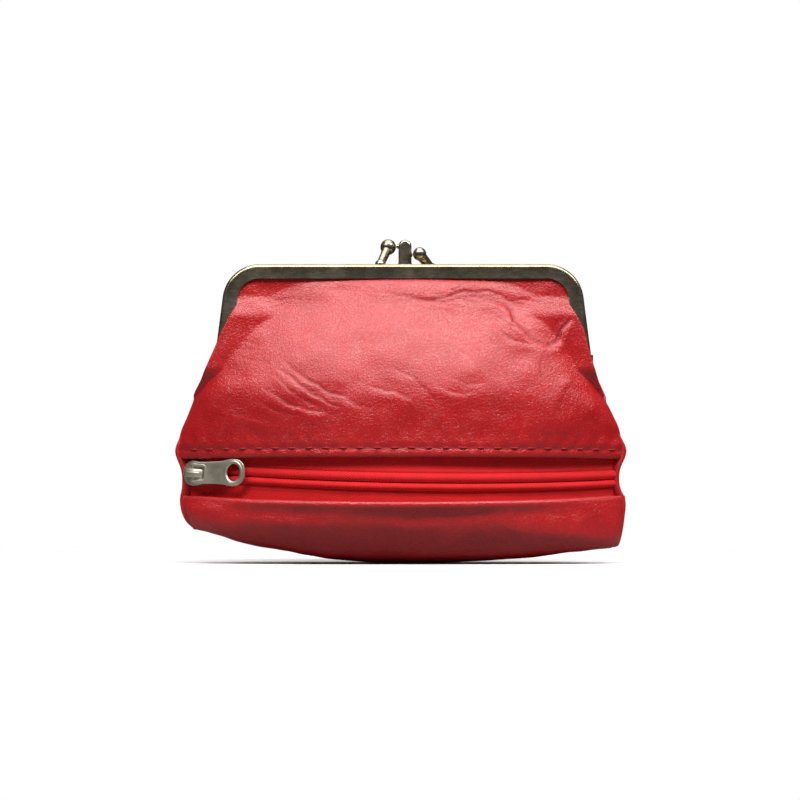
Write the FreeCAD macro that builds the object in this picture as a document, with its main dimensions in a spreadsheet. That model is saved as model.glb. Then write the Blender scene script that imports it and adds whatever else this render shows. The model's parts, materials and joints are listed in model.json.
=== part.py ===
import FreeCAD, Part
import math
import os

import Sketcher
from FreeCAD import Placement, Rotation, Vector

# A twin-top leather coin purse standing on its base.
# +Z is up, -Y is the front, +X is to the right as the front is looked at.
# The origin is on the floor, at the centre of the base.  All sizes are in millimetres.

# alias: (value, what it is)
SIZES = {
    "purse_half_width": (57.15, "half of the widest width, at the side seams"),
    "purse_half_depth": (17.5, "half of the depth, at the middle of the front"),
    "leather_thick": (1.0, "garment leather with its backing"),
    "lining_inset": (1.1, "from the outer leather face to the lining"),
    "lining_thick": (0.4, "lining cloth"),
    "floor_half_width": (34.0, "half width of the patch that rests on the floor"),
    "floor_half_depth": (8.0, "half depth of that patch"),
    "belly_height": (2.6, "height of the rounded belly's first section"),
    "belly_half_width": (46.5, "half width there"),
    "belly_half_depth": (13.2, "half depth there"),
    "edge_height": (8.0, "height of the soft edge between front and underside"),
    "edge_half_width": (53.6, "half width there"),
    "edge_half_depth": (16.5, "half depth there"),
    "low_side_height": (16.0, "where the sides become upright"),
    "high_side_height": (29.0, "where the sides start to draw in"),
    "fold_height": (39.5, "lower end of the band that folds when a frame opens"),
    "fold_half_width": (53.6, "half width there"),
    "fold_half_depth": (15.2, "half depth there"),
    "hinge_height": (47.0, "height of the hinge axis"),
    "hinge_half_width": (50.8, "half width of the leather at the hinge"),
    "hinge_half_depth": (12.2, "half depth of the leather at the hinge"),
    "flap_low": (48.0, "lower end of the leather that turns with a frame"),
    "flap_top": (73.1, "upper end of that leather, inside the channel"),
    "flap_clearance": (0.15, "from that leather's sides to the legs"),
    "flap_lining_low": (48.6, "lower end of its lining"),
    "flap_lining_top": (71.5, "upper end of its lining"),
    "flap_lining_clearance": (1.2, "from the lining's sides to the legs"),
    "corner_clearance": (1.2, "how much narrower the leather is between the round corners"),
    "slip": (0.05, "clearance of leather and cord inside a channel"),
    "pocket_floor_height": (31.0, "cloth floor between the compartments and the zipped pocket"),
    "slider_room_half_height": (3.9, "room for the slider, to each side of the chain"),
    "slider_room_depth": (4.3, "how far that room reaches in from the leather's face"),
    "slider_room_proud": (2.0, "how far it reaches out"),
    "slider_room_back": (6.0, "how far it reaches behind the side seams"),
    "hinge_relief_radius": (6.6, "room round the hinges in the fold bands"),
    "hinge_relief_start": (43.2, "where that room starts, from the centre"),
    "upper_lip_height": (27.0, "leather edge above the zip"),
    "lower_lip_height": (15.3, "leather edge under the zip, at the middle of the front"),
    "lower_lip_tilt": (6.5, "degrees by which that edge dips towards the front"),
    "base_height": (16.0, "top of the base leather at the back"),
    "frame_top": (77.1, "top of the three frames"),
    "face_width": (3.8, "width of a channel's face"),
    "channel_depth": (3.6, "front to back size of an outer channel"),
    "centre_depth": (2.6, "front to back size of the centre channel"),
    "channel_wall": (0.6, "sheet thickness of the channels"),
    "channel_back": (0.8, "sheet thickness at the channel's outer edge"),
    "channel_centre": (3.5, "distance of an outer channel from the middle plane"),
    "corner_radius": (9.6, "outer radius of the frames' top corners"),
    "leg_flare": (7.0, "degrees by which the legs spread"),
    "leg_height": (50.3, "lower end of the channel legs"),
    "leg_half_width": (48.8, "outer half width of the frames at that height"),
    "lip_rounding": (1.0, "rounding of the channel's outer edges"),
    "ear_radius": (2.6, "round end of the hinge ears"),
    "ear_thick": (0.7, "thickness of the hinge ears"),
    "ear_top": (53.5, "top of the hinge ears"),
    "front_ear": (48.45, "middle of the front frame's ear, from the centre"),
    "back_ear": (47.65, "middle of the back frame's ear"),
    "centre_ear": (46.85, "middle of the centre frame's ear"),
    "rivet_radius": (1.0, "hinge rivet"),
    "rivet_clearance": (0.06, "running clearance round the rivet"),
    "rivet_head_radius": (1.8, "hinge rivet's heads"),
    "rivet_head": (0.6, "thickness of a rivet head"),
    "hem_offset": (1.9, "from the frame's outer edge to the leather hem inside"),
    "divider_hem": (2.5, "from the centre frame's outer edge to the divider's hem"),
    "cord_radius": (0.5, "paper cord pressed into the channel"),
    "divider_thick": (0.9, "divider panel"),
    "divider_half_width": (44.6, "divider panel under the frame's legs"),
    "post_width": (3.4, "centre clasp post"),
    "post_depth": (2.0, "centre clasp post, front to back"),
    "post_rounding": (0.75, "rounding of the post's long edges"),
    "post_top": (84.1, "top of the post"),
    "post_offset": (0.5, "post's middle from the purse's middle"),
    "front_ball_radius": (2.05, "front clasp ball"),
    "front_ball_x": (-3.9, "front clasp ball"),
    "front_ball_y": (1.3, "it rests just behind the post's middle plane"),
    "front_ball_height": (82.4, "front clasp ball"),
    "front_stem_x": (-5.9, "foot of the front clasp stem"),
    "back_ball_radius": (1.75, "back clasp ball"),
    "back_ball_x": (4.3, "back clasp ball"),
    "back_ball_y": (-1.3, "it rests just in front of the post's middle plane"),
    "back_ball_height": (80.2, "back clasp ball"),
    "back_stem_x": (7.4, "foot of the back clasp stem"),
    "front_stem_radius": (1.05, "front clasp stem, at its foot"),
    "back_stem_radius": (1.15, "back clasp stem, at its foot"),
    "stem_growth": (1.2, "how much wider a stem is where it meets its ball"),
    "stem_root": (0.35, "how far a stem's root spreads on the frame"),
    "detent_gap": (0.07, "gap between a ball and the post's lobe beside it"),
    "lobe_shortest": (0.15, "a gap smaller than this needs no lobe on the post"),
    "lobe_radius": (0.9, "foot of a lobe"),
    "zip_tilt": (7.5, "degrees by which the zip's plane dips towards the front"),
    "zip_roll": (1.0, "degrees by which the zip's left end stands higher than its right"),
    "chain_height": (20.3, "height of the zip chain at the middle of the front"),
    "chain_gap": (0.25, "half of the gap between the two coils"),
    "coil_width": (1.75, "width of one coil"),
    "coil_top": (0.7, "depth of the coils' face under the leather's face"),
    "tape_top": (2.0, "depth of the tapes' face"),
    "tape_thick": (0.4, "zip tape"),
    "upper_tape_width": (7.2, "how far the upper tape reaches from the chain"),
    "lower_tape_width": (6.8, "how far the lower tape reaches from the chain"),
    "tape_half_angle": (30.8, "degrees from the middle of the front to the tapes' ends"),
    "coil_half_angle": (32.2, "degrees from the middle of the front to the coils' ends"),
    "slider_angle": (-31.5, "degrees from the middle to the closed slider"),
    "slider_length": (8.0, "zip slider"),
    "slider_half_width": (3.2, "zip slider"),
    "slider_clearance": (0.15, "gap between the slider and the coils"),
    "slider_bevel": (0.35, "bevel of the slider's plates"),
    "slider_tape_gap": (0.22, "gap between the slider and the tapes"),
    "neck_gap": (0.1, "gap between the slider's neck and each coil"),
    "plate_thick": (0.8, "slider plates"),
    "crown_length": (5.6, "bridge that holds the pull tab"),
    "crown_width": (2.4, "bridge that holds the pull tab"),
    "crown_rise": (2.4, "height of the bridge over the slider's plate"),
    "pin_radius": (0.5, "pull tab's hinge bar"),
    "pin_rise": (1.15, "height of the bar over the slider's plate"),
    "tab_length": (14.9, "pull tab, from its bar to the ring's end"),
    "tab_thick": (0.9, "pull tab"),
    "tab_half_width": (2.6, "pull tab's strap"),
    "tab_ring_radius": (3.5, "pull tab's ring end"),
    "tab_rest_tilt": (7.5, "degrees by which the tab leans on the chain"),
    "tab_rise": (5.0, "degrees by which the tab's loose end points up"),
    "stitch_pitch": (4.3, "distance between stitches"),
    "stitch_length": (2.9, "one stitch"),
    "stitch_width": (0.6, "thread"),
    "stitch_proud": (0.3, "how far the thread stands out of the leather"),
    "stitch_gap": (0.08, "gap between the thread and the leather"),
    "upper_stitch_height": (29.2, "stitch row above the zip"),
    }

doc = FreeCAD.newDocument("coin_purse")
sheet = doc.addObject("Spreadsheet::Sheet", "dims")
for row, (alias, (value, note)) in enumerate(SIZES.items(), start=1):
    sheet.set("A%d" % row, note)
    sheet.set("B%d" % row, str(value))
    sheet.setAlias("B%d" % row, alias)
doc.recompute()

SUBPARTS = []
FREE = 60.0                       # longer than anything that it has to cut through


class Dim:
    """A size that carries its number and the sheet expression that gives it."""

    def __init__(self, text, value):
        self.text = text
        self.value = value

    def joined(self, other, sign, value):
        return Dim("(%s %s %s)" % (self.text, sign, as_dim(other).text), value)

    def __add__(self, other):
        return self.joined(other, "+", self.value + as_dim(other).value)

    def __sub__(self, other):
        return self.joined(other, "-", self.value - as_dim(other).value)

    def __mul__(self, other):
        return self.joined(other, "*", self.value * as_dim(other).value)

    def __truediv__(self, other):
        return self.joined(other, "/", self.value / as_dim(other).value)

    def __neg__(self):
        return Dim("(0 - %s)" % self.text, -self.value)


def as_dim(number):
    """A plain number as a Dim; a Dim as itself."""
    if isinstance(number, Dim):
        return number
    return Dim("(%.6f)" % number, float(number))


def size(alias):
    """A driving dimension, with its sheet expression."""
    return Dim("dims." + alias, float(sheet.get(alias)))


def mm(alias):
    """A driving dimension as a plain number."""
    return float(sheet.get(alias))


def cosine(angle):
    return Dim("cos(%s)" % angle.text, math.cos(math.radians(angle.value)))


def tangent(angle):
    return Dim("tan(%s)" % angle.text, math.tan(math.radians(angle.value)))


# ---------------------------------------------------------------- document helpers

def keep(thing, name, placement=None):
    """Marks a finished object as a sub-part: its label names its file."""
    thing.Label = name
    if placement is not None:
        thing.Placement = placement
    SUBPARTS.append(thing)
    return thing


def solid_feature(name, shape, placement=None):
    """A sub-part whose solid is made by Part's own functions."""
    thing = doc.addObject("Part::Feature", name + "_solid")
    thing.Shape = shape
    return keep(thing, name, placement)


def new_body(name):
    return doc.addObject("PartDesign::Body", name + "_body")


def new_sketch(body, name, plane, offset=None):
    """A sketch on one of the body's own origin planes, shifted along its normal."""
    sketch = body.newObject("Sketcher::SketchObject", name)
    support = [item for item in body.Origin.OriginFeatures if item.Role == plane][0]
    sketch.AttachmentSupport = [(support, "")]
    sketch.MapMode = "FlatFace"
    if offset is not None:
        sketch.setExpression(".AttachmentOffset.Base.z", offset.text)
    return sketch


def bind(sketch, constraint, dim):
    index = sketch.addConstraint(constraint)
    sketch.setExpression("Constraints[%d]" % index, dim.text)


def fix_point(sketch, geometry, end, across, along):
    """Ties one point of the sketch to two sizes measured from its origin."""
    bind(sketch, Sketcher.Constraint("DistanceX", geometry, end, across.value), across)
    bind(sketch, Sketcher.Constraint("DistanceY", geometry, end, along.value), along)


def draw_polygon(sketch, points):
    """A closed outline of straight lines, each corner tied to its sizes."""
    points = [(as_dim(across), as_dim(along)) for across, along in points]
    corners = [Vector(across.value, along.value, 0) for across, along in points]
    lines = [sketch.addGeometry(Part.LineSegment(start, end))
             for start, end in zip(corners, corners[1:] + corners[:1])]
    for line, following in zip(lines, lines[1:] + lines[:1]):
        sketch.addConstraint(Sketcher.Constraint("Coincident", line, 2, following, 1))
    for line, (across, along) in zip(lines, points):
        fix_point(sketch, line, 1, across, along)
    return lines


def draw_circle(sketch, across, along, radius):
    across, along, radius = as_dim(across), as_dim(along), as_dim(radius)
    centre = Vector(across.value, along.value, 0)
    circle = sketch.addGeometry(Part.Circle(centre, Vector(0, 0, 1), radius.value))
    fix_point(sketch, circle, 3, across, along)
    bind(sketch, Sketcher.Constraint("Radius", circle, radius.value), radius)
    return circle


def pad(body, sketch, name, length):
    """Material to both sides of the sketch."""
    feature = body.newObject("PartDesign::Pad", name)
    feature.Profile = sketch
    feature.SideType = "Symmetric"
    feature.setExpression("Length", as_dim(length).text)
    doc.recompute()
    return feature


def pocket(body, sketch, name, length):
    """A cut to both sides of the sketch; it has to take something away."""
    before = body.Shape.Volume
    feature = body.newObject("PartDesign::Pocket", name)
    feature.Profile = sketch
    feature.SideType = "Symmetric"
    feature.setExpression("Length", as_dim(length).text)
    doc.recompute()
    if body.Shape.Volume > before - 1e-3:
        raise RuntimeError(name + " cuts nothing")
    return feature


def mirrored(body, features, name, plane="YZ_Plane"):
    """The same features on the other side of an origin plane."""
    feature = body.newObject("PartDesign::Mirrored", name)
    feature.Originals = features
    support = [item for item in body.Origin.OriginFeatures if item.Role == plane][0]
    feature.MirrorPlane = (support, [""])
    body.Tip = feature
    doc.recompute()
    return feature


def revolve(body, sketch, name, angle, axis="V_Axis"):
    """A sector of revolution, half of it to each side of the sketch."""
    feature = body.newObject("PartDesign::Revolution", name)
    feature.Profile = sketch
    feature.ReferenceAxis = (sketch, [axis])
    feature.Midplane = True
    feature.setExpression("Angle", as_dim(angle).text)
    doc.recompute()
    return feature


def rounded(body, name, radius, wanted):
    """Rounds the edges of the body's tip that the test picks out."""
    tip = body.Tip
    edges = ["Edge%d" % (index + 1) for index, edge in enumerate(tip.Shape.Edges)
             if wanted(edge)]
    feature = body.newObject("PartDesign::Fillet", name)
    feature.Base = (tip, edges)
    feature.setExpression("Radius", as_dim(radius).text)
    doc.recompute()
    return feature


def edge_middle(edge):
    return edge.valueAt((edge.FirstParameter + edge.LastParameter) / 2)


# ---------------------------------------------------------------- leather shapes

def arc_radius(half_width, half_depth):
    """Radius of an arc with this half chord and this rise."""
    return (half_width ** 2 + half_depth ** 2) / (2 * half_depth)


def lens(height, half_width, half_depth, inset=0.0):
    """Plan section of the pouch: two arcs that meet at the side seams."""
    radius = arc_radius(half_width, half_depth)
    middle = radius - half_depth
    radius = radius - inset
    tip = math.sqrt(radius ** 2 - middle ** 2)
    rise = radius - middle
    left, right = Vector(-tip, 0, height), Vector(tip, 0, height)
    front = Part.Arc(left, Vector(0, -rise, height), right).toShape()
    back = Part.Arc(right, Vector(0, rise, height), left).toShape()
    return Part.Wire([front, back])


POUCH_SECTIONS = [
    (0.0, mm("floor_half_width"), mm("floor_half_depth")),
    (mm("belly_height"), mm("belly_half_width"), mm("belly_half_depth")),
    (mm("edge_height"), mm("edge_half_width"), mm("edge_half_depth")),
    (mm("low_side_height"), mm("purse_half_width"), mm("purse_half_depth")),
    (mm("high_side_height"), mm("purse_half_width"), mm("purse_half_depth")),
    (mm("fold_height"), mm("fold_half_width"), mm("fold_half_depth")),
    (mm("hinge_height"), mm("hinge_half_width"), mm("hinge_half_depth")),
]


def pouch(inset=0.0, floor=0.0):
    """The full pouch up to the hinge, drawn in by inset and raised off the floor."""
    sections = [(max(height, floor), width, depth) for height, width, depth in POUCH_SECTIONS]
    shape = None
    for lower, upper in zip(sections, sections[1:]):
        piece = Part.makeLoft([lens(*lower, inset), lens(*upper, inset)], True, True)
        shape = piece if shape is None else shape.fuse(piece)
    return shape


def pouch_shell(outer, inner, floor_outer, floor_inner):
    """A skin of the pouch between two insets, with a bottom."""
    hollow = pouch(inner, floor_inner)
    return pouch(outer, floor_outer).cut(hollow)


def slab(low, high, front=-FREE, back=FREE):
    """Everything between two heights and two depths."""
    box = Part.makeBox(2 * FREE, back - front, high - low)
    box.translate(Vector(-FREE, front, low))
    return box


def under_lower_lip(drop=0.0):
    """Everything under the zip's lower lip, whose plane dips towards the front."""
    box = slab(-FREE, 0.0)
    box.rotate(Vector(0, 0, 0), Vector(1, 0, 0), mm("lower_lip_tilt"))
    front = -mm("purse_half_depth")
    box.translate(Vector(0, front, mm("lower_lip_height") - drop))
    return box


def slider_room():
    """Room for the slider where the zip's ends meet the side seams."""
    radius = arc_radius(mm("purse_half_width"), mm("purse_half_depth"))
    inner = radius - mm("slider_room_depth")
    outer = radius + mm("slider_room_proud")
    half = mm("slider_room_half_height")
    ring = Part.makeCylinder(outer, 2 * half, Vector(0, 0, -half))
    ring = ring.cut(Part.makeCylinder(inner, 2 * half, Vector(0, 0, -half)))
    ring.Placement = zip_placement()
    return ring.common(slab(-FREE, FREE, -FREE, mm("slider_room_back")))


def hinge_relief():
    """Room round both hinges."""
    relief = []
    for side in (-1, 1):
        base = Vector(side * mm("hinge_relief_start"), 0, mm("hinge_height"))
        relief.append(Part.makeCylinder(mm("hinge_relief_radius"), FREE, base, Vector(side, 0, 0)))
    return relief[0].fuse(relief[1])


def single(shape):
    """The one solid in a boolean's result."""
    shape = shape.removeSplitter()
    if len(shape.Solids) != 1:
        raise RuntimeError("expected one solid, found %d" % len(shape.Solids))
    return shape.Solids[0]


# front is -1, back is +1
FRONT, BACK = -1, 1


def half_space(side, gap=0.0):
    """The front or back half of everything."""
    if side == FRONT:
        return slab(-FREE, 2 * FREE, -FREE, -gap)
    return slab(-FREE, 2 * FREE, gap, FREE)


def make_pouch_leather():
    skin = pouch_shell(0.0, mm("leather_thick"), 0.0, mm("leather_thick"))
    fold_height = mm("fold_height")
    for side, name in ((FRONT, "front"), (BACK, "back")):
        half = skin.common(half_space(side))
        fold = half.common(slab(fold_height, FREE)).cut(hinge_relief())
        solid_feature(name + "_leather_fold", single(fold))
    upper_lip = slab(mm("upper_lip_height"), fold_height, -FREE, 0.0)
    solid_feature("lower_front_leather", single(skin.common(upper_lip)))
    back_band = slab(mm("base_height"), fold_height, 0.0, FREE)
    back = skin.common(back_band).cut(slider_room())
    solid_feature("lower_back_leather", single(back))
    base_back = slab(-FREE, mm("base_height"), 0.0, FREE)
    base_front = under_lower_lip().common(slab(-FREE, FREE, -FREE, 0.0))
    base = skin.common(base_back.fuse(base_front).removeSplitter())
    solid_feature("base_leather", single(base))


def make_linings():
    outer = mm("lining_inset")
    inner = outer + mm("lining_thick")
    pocket_floor = mm("pocket_floor_height")
    floor_thick = 2 * mm("lining_thick")
    skin = pouch_shell(outer, inner, outer, inner)
    window = slab(mm("lower_lip_height"), mm("upper_lip_height"), -FREE, 0.0)
    zip_lining = skin.common(slab(-FREE, pocket_floor)).cut(window).cut(slider_room())
    solid_feature("zip_pocket_lining", single(zip_lining))
    floor_plate = pouch(outer, 0.0).common(slab(pocket_floor, pocket_floor + floor_thick))
    solid_feature("pocket_floor", single(floor_plate))
    compartment = slab(pocket_floor + floor_thick, mm("fold_height"))
    gap = mm("divider_thick") / 2
    for side, name in ((FRONT, "front"), (BACK, "back")):
        lining = skin.common(compartment).common(half_space(side, gap))
        solid_feature(name + "_compartment_lining", single(lining))


def leg_line(offset, height):
    """Half width of the frame's line at this offset from its outer edge."""
    flare = math.radians(mm("leg_flare"))
    spread = (mm("leg_height") - height) * math.tan(flare)
    return mm("leg_half_width") - offset / math.cos(flare) + spread


# height, half depth of the flap's outer face at the middle
FLAP_SECTIONS = [(mm("flap_low"), 12.0), (54.0, 11.2), (61.0, 9.5), (68.0, 7.2), (mm("flap_top"), 5.0)]


def channel_slot_front():
    """Distance from the middle plane to the leather's outer face inside a channel."""
    return mm("channel_centre") + mm("channel_depth") / 2 - mm("channel_wall") - mm("slip")


def flap_dish(inset, thick, low, high, side_gap):
    """The bulged panel inside a frame's opening: the front one."""
    mouth = channel_slot_front()
    outer_wires = []
    inner_wires = []
    for height, depth in FLAP_SECTIONS:
        half = leg_line(mm("face_width"), height) - side_gap
        if height > mm("frame_top") - mm("corner_radius"):
            half = half - mm("corner_clearance")
        for wires, drop in ((outer_wires, inset), (inner_wires, inset + thick)):
            left, right = Vector(-half, -mouth + drop, height), Vector(half, -mouth + drop, height)
            middle = Vector(0, -depth + drop, height)
            bulge = Part.Arc(left, middle, right).toShape()
            straight = Part.LineSegment(right, left).toShape()
            wires.append(Part.Wire([bulge, straight]))
    outer = Part.makeLoft(outer_wires, True, True)
    inner = Part.makeLoft(inner_wires, True, True)
    behind = slab(0.0, 2 * FREE, -mouth + inset + thick, FREE)
    return outer.cut(inner).cut(behind).common(slab(low, high))


def frame_outline(offset, bottom):
    """Edges of the frame's U at an offset from its outer edge, and its two ends."""
    flare = math.radians(mm("leg_flare"))
    radius = mm("corner_radius") - offset
    centre_height = mm("frame_top") - mm("corner_radius")
    half = leg_line(offset, bottom)
    centre_x = half - (radius + (centre_height - bottom) * math.sin(flare)) / math.cos(flare)

    def point(angle):
        return Vector(centre_x + radius * math.cos(angle), 0,
                      centre_height + radius * math.sin(angle))

    def flip(place):
        return Vector(-place.x, place.y, place.z)

    foot, shoulder, knee, top = Vector(half, 0, bottom), point(flare), point(0.8), point(math.pi / 2)
    return [
        Part.LineSegment(flip(foot), flip(shoulder)).toShape(),
        Part.Arc(flip(shoulder), flip(knee), flip(top)).toShape(),
        Part.LineSegment(flip(top), top).toShape(),
        Part.Arc(top, knee, shoulder).toShape(),
        Part.LineSegment(shoulder, foot).toShape(),
    ], flip(foot), foot


def frame_plate(outer_offset, inner_offset, bottom, low_y, high_y):
    """A flat U between two offsets."""
    outer, outer_left, outer_right = frame_outline(outer_offset, bottom)
    inner, inner_left, inner_right = frame_outline(inner_offset, bottom)
    ends = [Part.LineSegment(outer_right, inner_right).toShape(),
            Part.LineSegment(inner_left, outer_left).toShape()]
    wire = Part.Wire(Part.__sortEdges__(outer + ends + inner))
    plate = Part.Face(wire).extrude(Vector(0, high_y - low_y, 0))
    plate.translate(Vector(0, low_y, 0))
    return plate


HALF_TURN = Placement(Vector(0, 0, 0), Rotation(Vector(0, 0, 1), 180))


def facing(side):
    """Pieces are drawn at the front; half a turn puts the same piece at the back."""
    return Placement() if side == FRONT else HALF_TURN


def make_flap(side, name):
    """The leather above the hinge, with its hem inside the channel."""
    thick = mm("leather_thick")
    slot_front = -channel_slot_front()
    dish = flap_dish(0.0, thick, mm("flap_low"), mm("flap_top"), mm("flap_clearance"))
    hem = frame_plate(mm("hem_offset"), mm("face_width") + mm("channel_wall"), mm("leg_height"),
                      slot_front, slot_front + thick)
    solid_feature("upper_%s_leather" % name, single(dish.fuse(hem)), facing(side))
    lining = flap_dish(mm("lining_inset"), mm("lining_thick"), mm("flap_lining_low"),
                       mm("flap_lining_top"), mm("flap_lining_clearance"))
    solid_feature("%s_flap_lining" % name, single(lining), facing(side))


def make_channel_cord(side, name):
    """Paper cord that wedges the hem in the channel."""
    offset = mm("hem_offset") + mm("cord_radius") + 2 * mm("slip")
    edges, left, right = frame_outline(offset, mm("leg_height") + mm("cord_radius"))
    path = Part.Wire(edges)
    radius = mm("cord_radius")
    direction = path.Edges[0].tangentAt(path.Edges[0].FirstParameter)
    profile = Part.Wire(Part.makeCircle(radius, left, direction))
    cord = path.makePipeShell([profile], True, True)
    rear_wall = mm("channel_centre") - mm("channel_depth") / 2 + mm("channel_wall")
    cord.translate(Vector(0, -(rear_wall + radius + mm("slip")), 0))
    solid_feature("%s_channel_cord" % name, single(cord), facing(side))


# ---------------------------------------------------------------- frames

def draw_frame_chain(sketch, offset, bottom):
    """One line of the frame's U: leg, corner, top, corner, leg."""
    offset, bottom = as_dim(offset), as_dim(bottom)
    flare = size("leg_flare")
    half = (size("leg_half_width") - offset / cosine(flare)
            + (size("leg_height") - bottom) * tangent(flare))
    radius = size("corner_radius") - offset
    top = size("frame_top") - offset
    edges, left, right = frame_outline(offset.value, bottom.value)
    geometry = []
    for edge in edges:
        start, end = edge.valueAt(edge.FirstParameter), edge.valueAt(edge.LastParameter)
        start, end = Vector(start.x, start.z, 0), Vector(end.x, end.z, 0)
        if edge.Curve.TypeId == "Part::GeomLine":
            geometry.append(sketch.addGeometry(Part.LineSegment(start, end)))
        else:
            middle = edge_middle(edge)
            arc = Part.Arc(start, Vector(middle.x, middle.z, 0), end)
            geometry.append(sketch.addGeometry(arc))
    left_leg, left_arc, bar, right_arc, right_leg = geometry
    # arcs run anticlockwise in a sketch, so on this outline each one ends where it is entered
    sketch.addConstraint(Sketcher.Constraint("Tangent", left_leg, 2, left_arc, 2))
    sketch.addConstraint(Sketcher.Constraint("Tangent", left_arc, 1, bar, 1))
    sketch.addConstraint(Sketcher.Constraint("Tangent", bar, 2, right_arc, 2))
    sketch.addConstraint(Sketcher.Constraint("Tangent", right_arc, 1, right_leg, 1))
    sketch.addConstraint(Sketcher.Constraint("Horizontal", bar))
    bind(sketch, Sketcher.Constraint("DistanceY", bar, 1, top.value), top)
    for arc in (left_arc, right_arc):
        bind(sketch, Sketcher.Constraint("Radius", arc, radius.value), radius)
    fix_point(sketch, left_leg, 1, -half, bottom)
    fix_point(sketch, right_leg, 2, half, bottom)
    for arc, sign in ((left_arc, -1), (right_arc, 1)):
        centre = centre_of_corner(sign)
        bind(sketch, Sketcher.Constraint("DistanceX", arc, 3, centre.value), centre)
    return (left_leg, 1), (right_leg, 2)


def centre_of_corner(sign):
    """Where the frame's corner arcs are centred, to the left or right."""
    flare = size("leg_flare")
    rise = size("frame_top") - size("corner_radius") - size("leg_height")
    across = size("leg_half_width") - size("corner_radius") / cosine(flare) - rise * tangent(flare)
    return across * sign


def draw_frame(sketch, outer_offset, inner_offset, bottom):
    """Closed outline of a flat U between two offsets from the outer edge."""
    outer_left, outer_right = draw_frame_chain(sketch, outer_offset, bottom)
    inner_left, inner_right = draw_frame_chain(sketch, inner_offset, bottom)
    for start, end in ((outer_right, inner_right), (inner_left, outer_left)):
        first = sketch.getPoint(*start)
        last = sketch.getPoint(*end)
        line = sketch.addGeometry(Part.LineSegment(first, last))
        sketch.addConstraint(Sketcher.Constraint("Coincident", line, 1, *start))
        sketch.addConstraint(Sketcher.Constraint("Coincident", line, 2, *end))


def draw_ear(sketch, near, far, hinge_y):
    """Hinge ear: a round end on the hinge axis and a neck up to the leg.

    near is the neck's side that faces the middle plane, far the outer side.
    """
    radius = size("ear_radius")
    hinge = size("hinge_height")
    top = size("ear_top")
    reach = near.value - hinge_y.value
    meet = math.sqrt(radius.value ** 2 - reach ** 2)
    centre = Vector(hinge_y.value, hinge.value, 0)
    upper = Vector(near.value, hinge.value + meet, 0)
    shoulder = hinge + radius
    # the line from the round end to the outer side is tangent to the round end
    foot = Vector(far.value, shoulder.value, 0)
    gap = foot - centre
    span = gap.Length
    lean = math.atan2(gap.y, gap.x)
    spread = math.acos(radius.value / span)
    touch_angle = lean + spread
    touch = centre + Vector(math.cos(touch_angle), math.sin(touch_angle), 0) * radius.value
    far_top = Vector(far.value, top.value, 0)
    near_top = Vector(near.value, top.value, 0)
    start = math.atan2(upper.y - centre.y, upper.x - centre.x)
    circle = Part.Circle(centre, Vector(0, 0, 1), radius.value)
    arc = sketch.addGeometry(Part.ArcOfCircle(circle, touch_angle, start + 2 * math.pi))
    side_near = sketch.addGeometry(Part.LineSegment(upper, near_top))
    cap = sketch.addGeometry(Part.LineSegment(near_top, far_top))
    side_far = sketch.addGeometry(Part.LineSegment(far_top, foot))
    slope = sketch.addGeometry(Part.LineSegment(foot, touch))
    sketch.addConstraint(Sketcher.Constraint("Coincident", arc, 2, side_near, 1))
    sketch.addConstraint(Sketcher.Constraint("Coincident", side_near, 2, cap, 1))
    sketch.addConstraint(Sketcher.Constraint("Coincident", cap, 2, side_far, 1))
    sketch.addConstraint(Sketcher.Constraint("Coincident", side_far, 2, slope, 1))
    sketch.addConstraint(Sketcher.Constraint("Tangent", slope, 2, arc, 1))
    fix_point(sketch, arc, 3, hinge_y, hinge)
    bind(sketch, Sketcher.Constraint("Radius", arc, radius.value), radius)
    sketch.addConstraint(Sketcher.Constraint("Vertical", side_near))
    fix_point(sketch, side_near, 2, near, top)
    fix_point(sketch, side_far, 1, far, top)
    fix_point(sketch, slope, 1, far, shoulder)


def add_ears(body, name, near, far, hinge_y, ear, hole):
    """A hinge ear on each leg, drilled for its rivet."""
    thick = size("ear_thick")
    sketch = new_sketch(body, name + "_ear_sketch", "YZ_Plane", ear)
    draw_ear(sketch, near, far, hinge_y)
    ear_pad = pad(body, sketch, name + "_ear", thick)
    mirrored(body, [ear_pad], name + "_other_ear")
    drill = new_sketch(body, name + "_hole_sketch", "YZ_Plane", ear)
    draw_circle(drill, hinge_y, size("hinge_height"), hole)
    bore = pocket(body, drill, name + "_hole", thick * 1.2)
    mirrored(body, [bore], name + "_other_hole")


def make_channel(name, depth, near, far, hinge_y, ear, hole, placement):
    """A rolled channel bent into a U, open towards the leather, with two hinge ears."""
    body = new_body(name)
    outline = new_sketch(body, name + "_outline", "XZ_Plane")
    draw_frame(outline, 0.0, size("face_width"), size("leg_height"))
    pad(body, outline, name + "_bar", depth)

    def outer_edge(edge):
        middle = edge_middle(edge)
        on_face = abs(abs(middle.y) - depth.value / 2) < 1e-4
        return on_face and abs(frame_offset(middle)) < 1e-3

    rounded(body, name + "_rounding", size("lip_rounding"), outer_edge)
    slot = new_sketch(body, name + "_slot_outline", "XZ_Plane")
    draw_frame(slot, size("channel_back"), size("face_width") + 2, size("leg_height") - 3)
    pocket(body, slot, name + "_slot", depth - size("channel_wall") * 2)
    add_ears(body, name, near, far, hinge_y, ear, hole)
    keep(body, name, placement)


def frame_offset(place):
    """How far a point lies inside the frame's outer line."""
    flare = math.radians(mm("leg_flare"))
    centre_x = centre_of_corner(1).value
    centre_z = mm("frame_top") - mm("corner_radius")
    across, rise = abs(place.x) - centre_x, place.z - centre_z
    if across < 0:
        return mm("frame_top") - place.z
    if math.atan2(rise, across) > flare:
        return mm("corner_radius") - math.hypot(across, rise)
    return (leg_line(0.0, place.z) - abs(place.x)) * math.cos(flare)


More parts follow.
